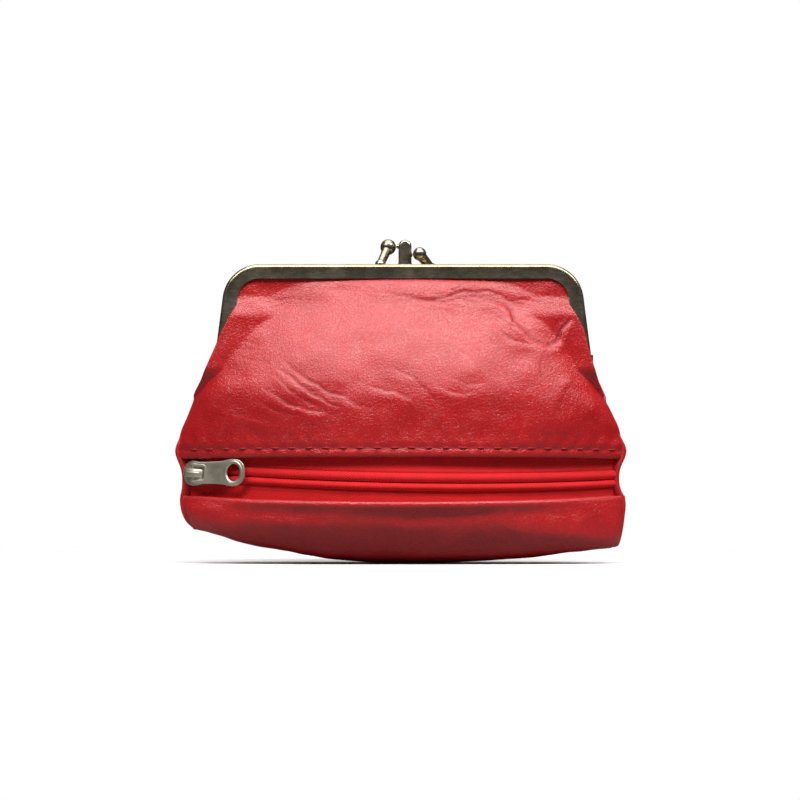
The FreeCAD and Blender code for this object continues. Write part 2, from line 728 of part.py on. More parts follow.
def make_frames():
    depth = size("channel_depth")
    centre = size("channel_centre")
    hole = size("rivet_radius") + size("rivet_clearance")
    # in an outer channel's own sketch the middle plane lies at +channel_centre
    near, far, hinge_y = depth / 2, -(depth / 2), centre
    for side, name, ear in ((FRONT, "front_channel", "front_ear"),
                            (BACK, "back_channel", "back_ear")):
        shift = Placement(Vector(0, -centre.value, 0), Rotation())
        make_channel(name, depth, near, far, hinge_y, size(ear), hole,
                     facing(side).multiply(shift))
    depth = size("centre_depth")
    make_channel("centre_frame", depth, depth / 2, -(depth / 2), as_dim(0.0),
                 size("centre_ear"), size("rivet_radius"), Placement())


def make_rivets():
    """A pin through the three ears of each hinge, headed at both ends."""
    pin = size("rivet_radius")
    head = size("rivet_head_radius")
    half_ear = size("ear_thick") / 2
    inner = size("centre_ear") - half_ear
    outer = size("front_ear") + half_ear + size("slip") * 2
    for side, name in ((-1, "left_hinge_rivet"), (1, "right_hinge_rivet")):
        body = new_body(name)
        profile = new_sketch(body, name + "_profile", "XZ_Plane")
        zero = as_dim(0.0)
        ends = [(inner - size("rivet_head"), zero), (outer + size("rivet_head"), zero),
                (outer + size("rivet_head"), head * 0.7), (outer + size("rivet_head") * 0.5, head),
                (outer, head), (outer, pin), (inner, pin), (inner, head),
                (inner - size("rivet_head") * 0.5, head), (inner - size("rivet_head"), head * 0.7)]
        draw_polygon(profile, ends)
        revolve(body, profile, name + "_turned", 360, "H_Axis")
        turn = Rotation(Vector(0, 0, 1), 0 if side > 0 else 180)
        keep(body, name, Placement(Vector(0, 0, mm("hinge_height")), turn))


def make_divider():
    """Panel in the centre frame that parts the two compartments."""
    thick = mm("divider_thick")
    low = mm("pocket_floor_height") + 2 * mm("lining_thick")
    edges, left, right = frame_outline(mm("divider_hem"), mm("leg_height"))
    half = mm("divider_half_width")
    corners = [right, Vector(half, 0, mm("leg_height")), Vector(half, 0, low),
               Vector(-half, 0, low), Vector(-half, 0, mm("leg_height")), left]
    lines = [Part.LineSegment(start, end).toShape()
             for start, end in zip(corners, corners[1:])]
    face = Part.Face(Part.Wire(Part.__sortEdges__(edges + lines)))
    panel = face.extrude(Vector(0, thick, 0))
    panel.translate(Vector(0, -thick / 2, 0))
    solid_feature("divider_panel", single(panel))


# ---------------------------------------------------------------- clasp

def knob(ball, radius, foot, stem):
    """A ball on a leaning stem that stands on a channel's top and widens to the ball."""
    sphere = Part.makeSphere(radius, ball)
    lean = ball - foot
    rod = Part.makeCone(stem, stem * mm("stem_growth"), lean.Length, foot, lean)
    root = Part.makeSphere(stem + mm("stem_root"), foot)
    return sphere.fuse([rod, root])


def make_clasp():
    top = mm("frame_top")
    centre = mm("channel_centre")
    above_channel = slab(top, 3 * FREE)
    front_ball = Vector(mm("front_ball_x"), mm("front_ball_y"), mm("front_ball_height"))
    front_foot = Vector(mm("front_stem_x"), -centre, top)
    front_knob = knob(front_ball, mm("front_ball_radius"), front_foot,
                      mm("front_stem_radius"))
    solid_feature("front_clasp_knob", single(front_knob.common(above_channel)))
    back_ball = Vector(mm("back_ball_x"), mm("back_ball_y"), mm("back_ball_height"))
    back_foot = Vector(mm("back_stem_x"), centre, top)
    back_knob = knob(back_ball, mm("back_ball_radius"), back_foot,
                     mm("back_stem_radius"))
    solid_feature("back_clasp_knob", single(back_knob.common(above_channel)))

    half = mm("post_width") / 2
    middle = mm("post_offset")
    post_top = mm("post_top")
    depth = mm("post_depth")
    stalk = Part.makeBox(2 * half, depth, post_top - half - top)
    stalk.translate(Vector(middle - half, -depth / 2, top))
    crest = Part.makeCylinder(half, depth, Vector(middle, -depth / 2, post_top - half),
                              Vector(0, 1, 0))
    flare = Part.makeCone(half * 1.25, half * 0.9, 1.4, Vector(middle, 0, top))
    flare = flare.common(slab(top, 2 * FREE, -mm("centre_depth") / 2, mm("centre_depth") / 2))
    blade = stalk.fuse(crest).removeSplitter()
    long_edges = [edge for edge in blade.Edges
                  if abs(abs(edge_middle(edge).y) - depth / 2) < 1e-6 and edge_middle(edge).z > top + 0.1]
    post = blade.makeFillet(mm("post_rounding"), long_edges).fuse(flare)
    gap = mm("detent_gap")
    lobes = ((middle - half, front_ball.x + mm("front_ball_radius") + gap, front_ball.z),
             (middle + half, back_ball.x - mm("back_ball_radius") - gap, back_ball.z))
    for wall, tip, height in lobes:
        reach = abs(tip - wall)
        direction = Vector(1 if tip > wall else -1, 0, 0)
        if reach > mm("lobe_shortest"):
            foot = mm("lobe_radius")
            lobe = Part.makeCone(foot, foot / 2, reach + half / 2,
                                 Vector(wall, 0, height) - direction * (half / 2), direction)
            post = post.fuse(lobe)
    solid_feature("centre_clasp_post", single(post))


# ---------------------------------------------------------------- zip

ZIP_RADIUS = ((size("purse_half_width") * size("purse_half_width")
               + size("purse_half_depth") * size("purse_half_depth"))
              / (size("purse_half_depth") * 2))


def zip_placement(angle=0.0):
    """The zip's own frame: its Z is the axis that the slider runs round."""
    tilt = math.radians(mm("zip_tilt"))
    radius = ZIP_RADIUS.value
    centre = Vector(0, radius * math.cos(tilt) - mm("purse_half_depth"),
                    mm("chain_height") + radius * math.sin(tilt))
    lean = Rotation(Vector(1, 0, 0), mm("zip_tilt"))
    level = Placement(centre, lean.multiply(Rotation(Vector(0, 0, 1), angle)))
    pivot = Vector(0, -mm("purse_half_depth"), mm("chain_height"))
    roll = Placement(Vector(), Rotation(Vector(0, 1, 0), mm("zip_roll")), pivot)
    return roll.multiply(level)


def zip_point(depth, height):
    """A point of a zip profile: depth under the leather's face, height from the chain.

    Profiles lean so that they stand upright although the zip's axis is tilted.
    """
    depth, height = as_dim(depth), as_dim(height)
    return -(ZIP_RADIUS - depth) + height * tangent(size("zip_tilt")), height


def make_zip_sector(name, corners, angle, placement):
    """A zip piece swept round the zip's axis."""
    body = new_body(name)
    profile = new_sketch(body, name + "_profile", "YZ_Plane")
    draw_polygon(profile, [zip_point(depth, height) for depth, height in corners])
    revolve(body, profile, name + "_swept", angle)
    return keep(body, name, placement)


def make_zip():
    gap = size("chain_gap")
    tape, tape_back = size("tape_top"), size("tape_top") + size("tape_thick")
    coil_far = gap + size("coil_width")
    coil_top = size("coil_top")
    bevel = size("coil_width") * 0.25
    for sign, name in ((1, "upper"), (-1, "lower")):
        make_zip_sector(name + "_zip_tape",
                        [(tape, gap * sign), (tape, size(name + "_tape_width") * sign),
                         (tape_back, size(name + "_tape_width") * sign), (tape_back, gap * sign)],
                        size("tape_half_angle") * 2, zip_placement())
        make_zip_sector(name + "_zip_coil",
                        [(tape, gap * sign), (coil_top, gap * sign),
                         (coil_top, (coil_far - bevel) * sign), (coil_top + bevel, coil_far * sign),
                         (tape, coil_far * sign)],
                        size("coil_half_angle") * 2, zip_placement())


def make_slider():
    """Two plates joined by a neck that runs in the gap of the chain."""
    plate = size("plate_thick")
    under_face = size("coil_top") - size("slider_clearance")
    face = under_face - plate
    flange = size("tape_top") - size("slider_tape_gap")
    back = size("tape_top") + size("tape_thick") + size("slider_tape_gap")
    wide = size("slider_half_width")
    lip = wide - plate
    neck = size("chain_gap") - size("neck_gap")
    bevel = size("slider_bevel")
    outline = [(face + bevel, -wide), (face, -wide + bevel), (face, wide - bevel), (face + bevel, wide),
               (flange, wide), (flange, lip), (under_face, lip), (under_face, neck), (back, neck),
               (back, wide), (back + plate, wide - bevel), (back + plate, -wide + bevel),
               (back, -wide), (back, -neck), (under_face, -neck), (under_face, -lip),
               (flange, -lip), (flange, -wide)]
    turn = as_dim(180 / math.pi) * size("slider_length") / ZIP_RADIUS
    body = make_zip_sector("slider_body", outline, turn, zip_placement(mm("slider_angle")))
    # the closed end of the slider is narrower than its mouth
    taper = new_sketch(body, "slider_taper", "XZ_Plane", ZIP_RADIUS)
    half = size("slider_length") / 2
    for sign in (1, -1):
        draw_polygon(taper, [(half * 0.1, (wide + 1) * sign), (half + 1, (wide + 1) * sign),
                             (half + 1, (wide - 1.0) * sign), (half * 0.7, (wide - 0.7) * sign)])
        draw_polygon(taper, [(-half - 1, (wide + 1) * sign), (-half * 0.45, (wide + 1) * sign),
                             (-half * 0.75, (wide - 0.15) * sign), (-half - 1, (wide - 1.4) * sign)])
    pocket(body, taper, "slider_shoulders", 12)


def slider_frame():
    """The slider's own frame: X along the zip, -Y outwards, Z up along the plate's face."""
    face = ZIP_RADIUS.value - (mm("coil_top") - mm("slider_clearance") - mm("plate_thick"))
    upright = Rotation(Vector(1, 0, 0), -mm("zip_tilt"))
    return zip_placement(mm("slider_angle")).multiply(Placement(Vector(0, -face, 0), upright))


def make_crown():
    """Bridge with a hole for the pull tab's bar."""
    body = new_body("slider_crown")
    profile = new_sketch(body, "crown_profile", "XY_Plane")
    half, rise = size("crown_length") / 2, size("crown_rise")
    draw_polygon(profile, [(-half, 0), (half, 0), (half, -(rise * 0.3)), (half * 0.72, -(rise * 0.8)),
                           (half * 0.3, -rise), (-half * 0.45, -rise), (-half * 0.85, -(rise * 0.72)),
                           (-half, -(rise * 0.3))])
    pad(body, profile, "crown_block", size("crown_width"))
    eye = new_sketch(body, "crown_eye", "XY_Plane")
    draw_circle(eye, 0, -size("pin_rise"), size("pin_radius") + 0.08)
    pocket(body, eye, "crown_hole", size("crown_width") + 1)

    def top_edge(edge):
        middle = edge_middle(edge)
        on_side = abs(abs(middle.z) - size("crown_width").value / 2) < 1e-4
        return on_side and middle.y < -rise.value * 0.2 and edge.Curve.TypeId == "Part::GeomLine"

    rounded(body, "crown_rounding", 0.3, top_edge)
    keep(body, "slider_crown", slider_frame())


def make_lock_spring():
    """Small leaf that holds the slider when the tab lies down, on the crown's mouth side."""
    body = new_body("slider_lock_spring")
    profile = new_sketch(body, "spring_profile", "XY_Plane")
    half = size("crown_length") / 2
    draw_polygon(profile, [(-half - 0.05, -0.1), (-half - 0.05, -0.9), (-half - 0.4, -0.9),
                           (-half - 0.4, -0.1)])
    pad(body, profile, "spring_leaf", size("crown_width") * 0.6)
    keep(body, "slider_lock_spring", slider_frame())


def make_pull_tab():
    """Strap with a ring end, hung on a bar through the crown."""
    body = new_body("pull_tab")
    outline = new_sketch(body, "tab_outline", "XZ_Plane")
    strap, ring = size("tab_half_width"), size("tab_ring_radius")
    length = size("tab_length")
    neck = size("crown_width") / 2 + 0.3
    draw_polygon(outline, [(-0.45, -strap), (length * 0.42, -strap * 0.92), (length - ring * 1.7, -strap),
                           (length - ring * 1.1, -ring * 0.97), (length - ring * 0.3, -ring * 0.92),
                           (length, -ring * 0.4), (length, ring * 0.4),
                           (length - ring * 0.3, ring * 0.92), (length - ring * 1.1, ring * 0.97),
                           (length - ring * 1.7, strap), (length * 0.42, strap * 0.92), (-0.45, strap)])
    pad(body, outline, "tab_plate", size("tab_thick"))
    eye = new_sketch(body, "tab_eye", "XZ_Plane")
    reach = size("crown_length") / 2 + 0.5
    draw_polygon(eye, [(size("pin_radius") - 0.05, -neck), (reach, -neck), (reach, neck),
                       (size("pin_radius") - 0.05, neck)])
    pocket(body, eye, "tab_eye_cut", 3)
    hole = new_sketch(body, "tab_hole", "XZ_Plane")
    half, end = ring * 0.58, length - 1.35
    draw_polygon(hole, [(end - 3.6, -half), (end - 0.9, -half), (end, -half * 0.45), (end, half * 0.45),
                        (end - 0.9, half), (end - 3.6, half), (end - 4.6, half * 0.4),
                        (end - 4.6, -half * 0.4)])
    pocket(body, hole, "tab_hole_cut", 3)
    bar_room = new_sketch(body, "tab_bar_room", "XZ_Plane")
    draw_polygon(bar_room, [(-1, -neck), (size("pin_radius"), -neck), (size("pin_radius"), neck),
                            (-1, neck)])
    pocket(body, bar_room, "tab_bar_room_cut", 3)
    bar = new_sketch(body, "tab_bar_outline", "XY_Plane")
    draw_circle(bar, 0, 0, size("pin_radius"))
    pad(body, bar, "tab_bar", strap * 2)
    lean = Rotation(Vector(0, 0, 1), mm("tab_rest_tilt"))
    rise = Rotation(Vector(0, 1, 0), -mm("tab_rise"))
    pin = Placement(Vector(0, -mm("pin_rise"), 0), rise.multiply(lean))
    keep(body, "pull_tab", slider_frame().multiply(pin))


def section_at(height):
    """Half width and half depth of the pouch at a height."""
    for (low, low_width, low_depth), (high, high_width, high_depth) in zip(POUCH_SECTIONS,
                                                                          POUCH_SECTIONS[1:]):
        if height <= high:
            share = (height - low) / (high - low)
            return (low_width + share * (high_width - low_width),
                    low_depth + share * (high_depth - low_depth))
    return POUCH_SECTIONS[-1][1:]


def stitch_on_front(across, height):
    """One stitch that lies on the front's outer face."""
    half_width, half_depth = section_at(height)
    radius = arc_radius(half_width, half_depth)
    turn = math.degrees(mm("stitch_length") / radius)
    angle = math.degrees(math.asin(across / radius)) - 90 - turn / 2
    width = mm("stitch_width")
    outer = Part.makeCylinder(radius + mm("stitch_proud"), width, Vector(), Vector(0, 0, 1), turn)
    inner = Part.makeCylinder(radius + mm("stitch_gap"), width, Vector(), Vector(0, 0, 1), turn)
    stitch = outer.cut(inner)
    stitch.rotate(Vector(), Vector(0, 0, 1), angle)
    stitch.translate(Vector(0, radius - half_depth, height - width / 2))
    return stitch


def make_stitches():
    """The row of separate thread stitches that lie on the leather above the zip."""
    radius = ZIP_RADIUS.value
    step = mm("stitch_pitch") / radius
    count = 2 * int(math.radians(mm("coil_half_angle")) / step) - 1
    stitches = []
    for index in range(count):
        angle = (index - (count - 1) / 2) * step
        stitches.append(stitch_on_front(radius * math.sin(angle), mm("upper_stitch_height")))
    solid_feature("upper_seam_stitching", Part.makeCompound(stitches))


# ---------------------------------------------------------------- build and write

def check_document():
    doc.recompute()
    for thing in doc.Objects:
        if "Invalid" in thing.State or "Error" in thing.State:
            raise RuntimeError("%s failed: %s" % (thing.Label, thing.State))
    for part in SUBPARTS:
        if part.Shape.isNull() or not part.Shape.isValid() or not part.Shape.Solids:
            raise RuntimeError(part.Label + " has no valid solid")


def main():
    make_pouch_leather()
    make_linings()
    for side, name in ((FRONT, "front"), (BACK, "back")):
        make_flap(side, name)
        make_channel_cord(side, name)
    make_frames()
    make_rivets()
    make_divider()
    make_clasp()
    make_zip()
    make_slider()
    make_crown()
    make_lock_spring()
    make_pull_tab()
    make_stitches()
    check_document()
    os.makedirs("parts", exist_ok=True)
    for part in SUBPARTS:
        part.Shape.exportStep("parts/%s.step" % part.Label)
        print("%-26s %9.2f mm3" % (part.Label, part.Shape.Volume))


main()
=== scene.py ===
import json
import math

import bmesh
import bpy
import numpy as np
from mathutils import Matrix, Vector, noise


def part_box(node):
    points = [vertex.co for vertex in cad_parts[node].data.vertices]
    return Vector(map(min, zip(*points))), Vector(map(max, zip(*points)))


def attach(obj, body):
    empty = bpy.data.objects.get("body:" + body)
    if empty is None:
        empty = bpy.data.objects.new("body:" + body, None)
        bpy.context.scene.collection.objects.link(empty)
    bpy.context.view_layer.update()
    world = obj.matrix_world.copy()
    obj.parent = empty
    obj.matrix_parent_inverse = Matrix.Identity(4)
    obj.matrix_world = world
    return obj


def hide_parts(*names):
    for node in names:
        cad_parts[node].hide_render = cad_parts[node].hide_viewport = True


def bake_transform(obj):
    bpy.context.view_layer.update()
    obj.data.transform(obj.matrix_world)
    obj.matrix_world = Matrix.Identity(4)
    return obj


# Looks of a twin-top leather coin purse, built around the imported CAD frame.
# Shapes are worked out in millimetres in the frame's own axes: +Z up, -Y the zipped front.

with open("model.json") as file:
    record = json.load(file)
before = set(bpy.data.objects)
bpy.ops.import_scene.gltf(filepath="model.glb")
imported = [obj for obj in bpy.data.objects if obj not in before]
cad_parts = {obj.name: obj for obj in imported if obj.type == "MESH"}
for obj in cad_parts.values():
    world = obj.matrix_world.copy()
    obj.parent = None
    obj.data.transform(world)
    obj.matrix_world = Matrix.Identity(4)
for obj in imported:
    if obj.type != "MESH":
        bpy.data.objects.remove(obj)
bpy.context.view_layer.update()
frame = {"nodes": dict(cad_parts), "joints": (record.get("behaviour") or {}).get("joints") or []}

MM = 0.001
LEFT, RIGHT = -1, 1
FRONT, BACK = -1, 1
SIDE_NAME = {FRONT: "front", BACK: "back"}


def lowest(node):
    return np.array(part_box(node)[0]) / MM


def highest(node):
    return np.array(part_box(node)[1]) / MM


def joint(name):
    return next(j for j in frame["joints"] if j["name"] == name)


# ---------------- sizes from the frame

HINGE_Z = joint("front_frame_hinge")["pos_m"][2] / MM
FRAME_TOP = highest("front_channel")[2]
FRAME_FACE = -lowest("front_channel")[1]  # front face of the front channel
HALF_WIDTH = highest("lower_front_leather")[0]
HALF_DEPTH = -lowest("lower_front_leather")[1]
UPPER_LIP = lowest("lower_front_leather")[2]
CORNER_RADIUS = 9.6  # outer radius of the frames' corners
CORNER_Z = FRAME_TOP - CORNER_RADIUS
LEG_FLARE = math.radians(7.0)
LEG_FOOT_Z = 50.3
LEG_HALF_WIDTH = 48.8
CHANNEL_WALL = 0.6
CORNER_X = (LEG_HALF_WIDTH - CORNER_RADIUS / math.cos(LEG_FLARE)
            - (CORNER_Z - LEG_FOOT_Z) * math.tan(LEG_FLARE))
SLOT_Y = FRAME_FACE - CHANNEL_WALL - 0.08  # leather's outer face inside the channel
HEM_OFFSET = 2.6  # how far inside the frame's edge the hem ends
HEM_LOW, HEM_HIGH = 66.5, 69.5  # the leather narrows into the channel between these
SKIN_TOP = 74.4  # the leather ends here, deep in the channel
SKIVED_FROM, SKIVED = 70.0, 0.85  # it is pared thinner above this height
LEATHER = 1.0
LINING = 0.35
POCKET_TOP = 30.4  # the zipped pocket's lining ends here


def frame_line(z, offset):
    """Half width of the frame's line at this offset from its outer edge."""
    z = np.asarray(z, float)
    leg = LEG_HALF_WIDTH - offset / math.cos(LEG_FLARE) + (LEG_FOOT_Z - z) * math.tan(LEG_FLARE)
    radius = CORNER_RADIUS - offset
    rise = np.clip(z - CORNER_Z, 0, radius)
    corner = CORNER_X + np.sqrt(radius ** 2 - rise ** 2)
    return np.where(z < CORNER_Z, leg, corner)


# ---------------- small tools

def smooth_curve(points):
    """A smooth line through a few (place, value) points, which never swings past them."""
    place, value = np.array(points, float).T
    step = np.diff(place)
    slope = np.diff(value) / step
    before, after = slope[:-1], slope[1:]
    same_way = before * after > 0
    tangent = np.zeros(len(place))
    tangent[0], tangent[-1] = slope[0], slope[-1]
    total = np.where(same_way, before + after, 1.0)
    tangent[1:-1] = np.where(same_way, 2 * before * after / total, 0.0)

    def at(x):
        x = np.clip(np.asarray(x, float), place[0], place[-1])
        i = np.clip(np.searchsorted(place, x) - 1, 0, len(step) - 1)
        t = (x - place[i]) / step[i]
        t2, t3 = t * t, t * t * t
        return ((2 * t3 - 3 * t2 + 1) * value[i] + (t3 - 2 * t2 + t) * step[i] * tangent[i]
                + (3 * t2 - 2 * t3) * value[i + 1] + (t3 - t2) * step[i] * tangent[i + 1])

    return at


def smooth_step(x, low, high):
    t = np.clip((np.asarray(x, float) - low) / (high - low), 0, 1)
    return t * t * (3 - 2 * t)


def spread(rows, columns):
    """Two whole grids, from one line of values down the rows and one along the columns."""
    return np.meshgrid(rows, columns, indexing="ij")


def unit(vectors):
    length = np.linalg.norm(vectors, axis=-1, keepdims=True)
    return vectors / np.maximum(length, 1e-9)


def wavy(points, size, seed):
    """Smooth noise from -1 to 1 at each point, with bumps about size mm across."""
    flat = points.reshape(-1, 3) / size + seed
    values = [noise.noise(Vector(p)) for p in flat]
    return np.array(values).reshape(points.shape[:-1])


def grid_normals(grid):
    """Outward normals of a grid whose columns run to +X and rows run up the front."""
    across = np.gradient(grid, axis=1)
    up = np.gradient(grid, axis=0)
    return unit(np.cross(across, up))


def mesh_piece(name, verts, faces, material, slot, creases=None):
    """A mesh object from points in mm, with its rest place kept for its material."""
    mesh = bpy.data.meshes.new(name)
    mesh.from_pydata((np.asarray(verts) * MM).tolist(), [], faces)
    mesh.validate()
    mesh.shade_smooth()
    rest = mesh.attributes.new("rest", "FLOAT_VECTOR", "POINT")
    rest.data.foreach_set("vector", np.asarray(verts, np.float32).ravel())
    # the crease field: the leather's material paints it as shade in the creases and as a highlight
    # on their folds
    if creases is not None:
        attribute = mesh.attributes.new("crease", "FLOAT", "POINT")
        attribute.data.foreach_set("value", np.asarray(creases, np.float32))
    mesh.materials.append(material)
    piece = bpy.data.objects.new(name, mesh)
    bpy.context.scene.collection.objects.link(piece)
    return piece


RIM_STEPS = 4  # steps round the edge of a sheet


def closed_sheet(name, outer, thick, material, slot, creases=None):
    """A sheet of some thickness with rounded edges; outer is its outer face as a grid."""
    rows, columns = outer.shape[:2]
    thick = np.broadcast_to(np.asarray(thick, float), (rows, columns))[..., None]
    normal = grid_normals(outer)
    inner = outer - normal * thick
    index = np.arange(rows * columns).reshape(rows, columns)
    loop = np.concatenate([index[0, :-1], index[:-1, -1], index[-1, :0:-1], index[:0:-1, 0]])
    away = np.zeros_like(outer)
    away[0] += unit(outer[0] - outer[1])
    away[-1] += unit(outer[-1] - outer[-2])
    away[:, 0] += unit(outer[:, 0] - outer[:, 1])
    away[:, -1] += unit(outer[:, -1] - outer[:, -2])
    flat_outer, flat_inner = outer.reshape(-1, 3), inner.reshape(-1, 3)
    top, bottom = flat_outer[loop], flat_inner[loop]
    edge = unit(away.reshape(-1, 3)[loop])
    middle, half = (top + bottom) / 2, (top - bottom) / 2
    reach = np.linalg.norm(half, axis=1, keepdims=True) * edge
    rings = []
    for step in range(1, RIM_STEPS):
        angle = math.pi * step / RIM_STEPS
        rings.append(middle + half * math.cos(angle) + reach * math.sin(angle))
    verts = np.concatenate([flat_outer, flat_inner] + rings)
    count = rows * columns
    a, b = index[:-1, :-1].ravel(), index[:-1, 1:].ravel()
    c, d = index[1:, 1:].ravel(), index[1:, :-1].ravel()
    faces = np.stack([a, b, c, d], 1).tolist()
    faces += np.stack([d + count, c + count, b + count, a + count], 1).tolist()
    size = len(loop)
    ring_index = [loop] + [2 * count + size * i + np.arange(size) for i in range(RIM_STEPS - 1)]
    ring_index.append(loop + count)
    for upper, lower in zip(ring_index, ring_index[1:]):
        faces += np.stack([np.roll(upper, -1), upper, lower, np.roll(lower, -1)], 1).tolist()
    if creases is not None:
        flat = np.asarray(creases, float).ravel()
        creases = np.concatenate([flat, flat * 0] + [flat[loop] * 0] * (RIM_STEPS - 1))
    return mesh_piece(name, verts, faces, material, slot, creases)


def rods(paths, radius, sides=8, closed=False, across=(0.0, 0.0, 1.0), flatten=1.0):
    """Round rods along paths; flatten squeezes their sections along the across direction."""
    verts, faces, base = [], [], 0
    ring = np.linspace(0, 2 * math.pi, sides, endpoint=False)
    for path in paths:
        path = np.asarray(path, float)
        count = len(path)
        if closed:
            along = unit(np.roll(path, -1, 0) - np.roll(path, 1, 0))
        else:
            along = unit(np.gradient(path, axis=0))
        side = unit(np.cross(along, np.broadcast_to(np.array(across, float), along.shape)))
        up = unit(np.cross(side, along)) * flatten
        verts.append((path[:, None] + radius * (side[:, None] * np.cos(ring)[None, :, None]
                                                + up[:, None] * np.sin(ring)[None, :, None]))
                     .reshape(-1, 3))
        for i in range(count if closed else count - 1):
            first, second = base + i * sides, base + (i + 1) % count * sides
            for k in range(sides):
                after = (k + 1) % sides
                faces.append((first + k, first + after, second + after, second + k))
        if not closed:
            faces.append(tuple(base + k for k in reversed(range(sides))))
            faces.append(tuple(base + (count - 1) * sides + k for k in range(sides)))
        base += count * sides
    return np.concatenate(verts), faces


def tubes(name, paths, radius, material, slot, **shape):
    return mesh_piece(name, *rods(paths, radius, **shape), material, slot)


def smooth_span(p0, p1, p2, p3, steps):
    """Points on a smooth line from p1 up to p2, where p0 and p3 are the points beyond them."""
    t = np.linspace(0, 1, steps, endpoint=False)[:, None]
    return 0.5 * (2 * p1 + (p2 - p0) * t + (2 * p0 - 5 * p1 + 4 * p2 - p3) * t ** 2
                  + (3 * p1 - p0 - 3 * p2 + p3) * t ** 3)


def smooth_loop(points, steps=8):
    """A smooth closed line through a few points."""
    points = np.array(points, float)
    around = [[points[(i + k) % len(points)] for k in (-1, 0, 1, 2)] for i in range(len(points))]
    return np.concatenate([smooth_span(*four, steps) for four in around])


def resampled(rows, count, steps=8):
    """count rows on a smooth line through these rows, evenly spaced in their first two values."""
    beyond = np.concatenate([[2 * rows[0] - rows[1]], rows, [2 * rows[-1] - rows[-2]]])
    fours = zip(beyond, beyond[1:], beyond[2:], beyond[3:])
    line = np.concatenate([smooth_span(*four, steps) for four in fours] + [rows[-1:]])
    length = np.concatenate([[0], np.cumsum(np.linalg.norm(np.diff(line[:, :2], axis=0), axis=1))])
    at = np.linspace(0, length[-1], count)
    return np.stack([np.interp(at, length, column) for column in line.T], 1)


def mirrored(points):
    """A loop from its upper half, which runs from the left to the right."""
    upper = [tuple(p) for p in points]
    return upper + [(x, -y) for x, y in reversed(upper) if abs(y) > 1e-6]


def plate(outline, holes, low, high, bevel):
    """A flat plate with rounded edges, between two heights over its own XY plane."""
    curve = bpy.data.curves.new("plate", "CURVE")
    curve.dimensions = "2D"
    curve.fill_mode = "BOTH"
    curve.extrude = (high - low) / 2 - bevel
    curve.bevel_depth = bevel
    curve.bevel_resolution = 3
    curve.offset = -bevel
    for loop in [outline] + holes:
        spline = curve.splines.new("POLY")
        spline.points.add(len(loop) - 1)
        for point, (x, y) in zip(spline.points, loop):
            point.co = (x, y, 0, 1)
        spline.use_cyclic_u = True
    holder = bpy.data.objects.new("plate", curve)
    mesh = bpy.data.meshes.new_from_object(holder)
    verts = np.array([v.co for v in mesh.vertices]) + (0, 0, (low + high) / 2)
    faces = [tuple(face.vertices) for face in mesh.polygons]
    bpy.data.objects.remove(holder)
    bpy.data.meshes.remove(mesh)
    bpy.data.curves.remove(curve)
    return verts, faces


def joined(meshes):
    verts, faces, base = [], [], 0
    for points, sides in meshes:
        verts.append(points)
        faces += [tuple(base + k for k in side) for side in sides]
        base += len(points)
    return np.concatenate(verts), faces


MERGE_WITHIN = 0.002  # points closer than this are one point
FLAT_FACE = 0.5  # a face larger than this squared counts as flat
CRISP_ANGLE = math.radians(4)


def metal_piece(name, meshes, turn, origin):
    """One rigid piece of zip metal from meshes in its own axes, with crisp flat faces."""
    verts, faces = joined(meshes)
    piece = mesh_piece(name, verts @ turn.T + origin, faces, ZIP_METAL, "zip_metal")
    shape = bmesh.new()
    shape.from_mesh(piece.data)
    bmesh.ops.remove_doubles(shape, verts=shape.verts, dist=MERGE_WITHIN * MM)
    for edge in shape.edges:
        if len(edge.link_faces) == 2:
            large = max(face.calc_area() for face in edge.link_faces) > (FLAT_FACE * MM) ** 2
            edge.smooth = not (large and edge.calc_face_angle(0) > CRISP_ANGLE)
    shape.to_mesh(piece.data)
    shape.free()
    return piece


# ---------------- materials

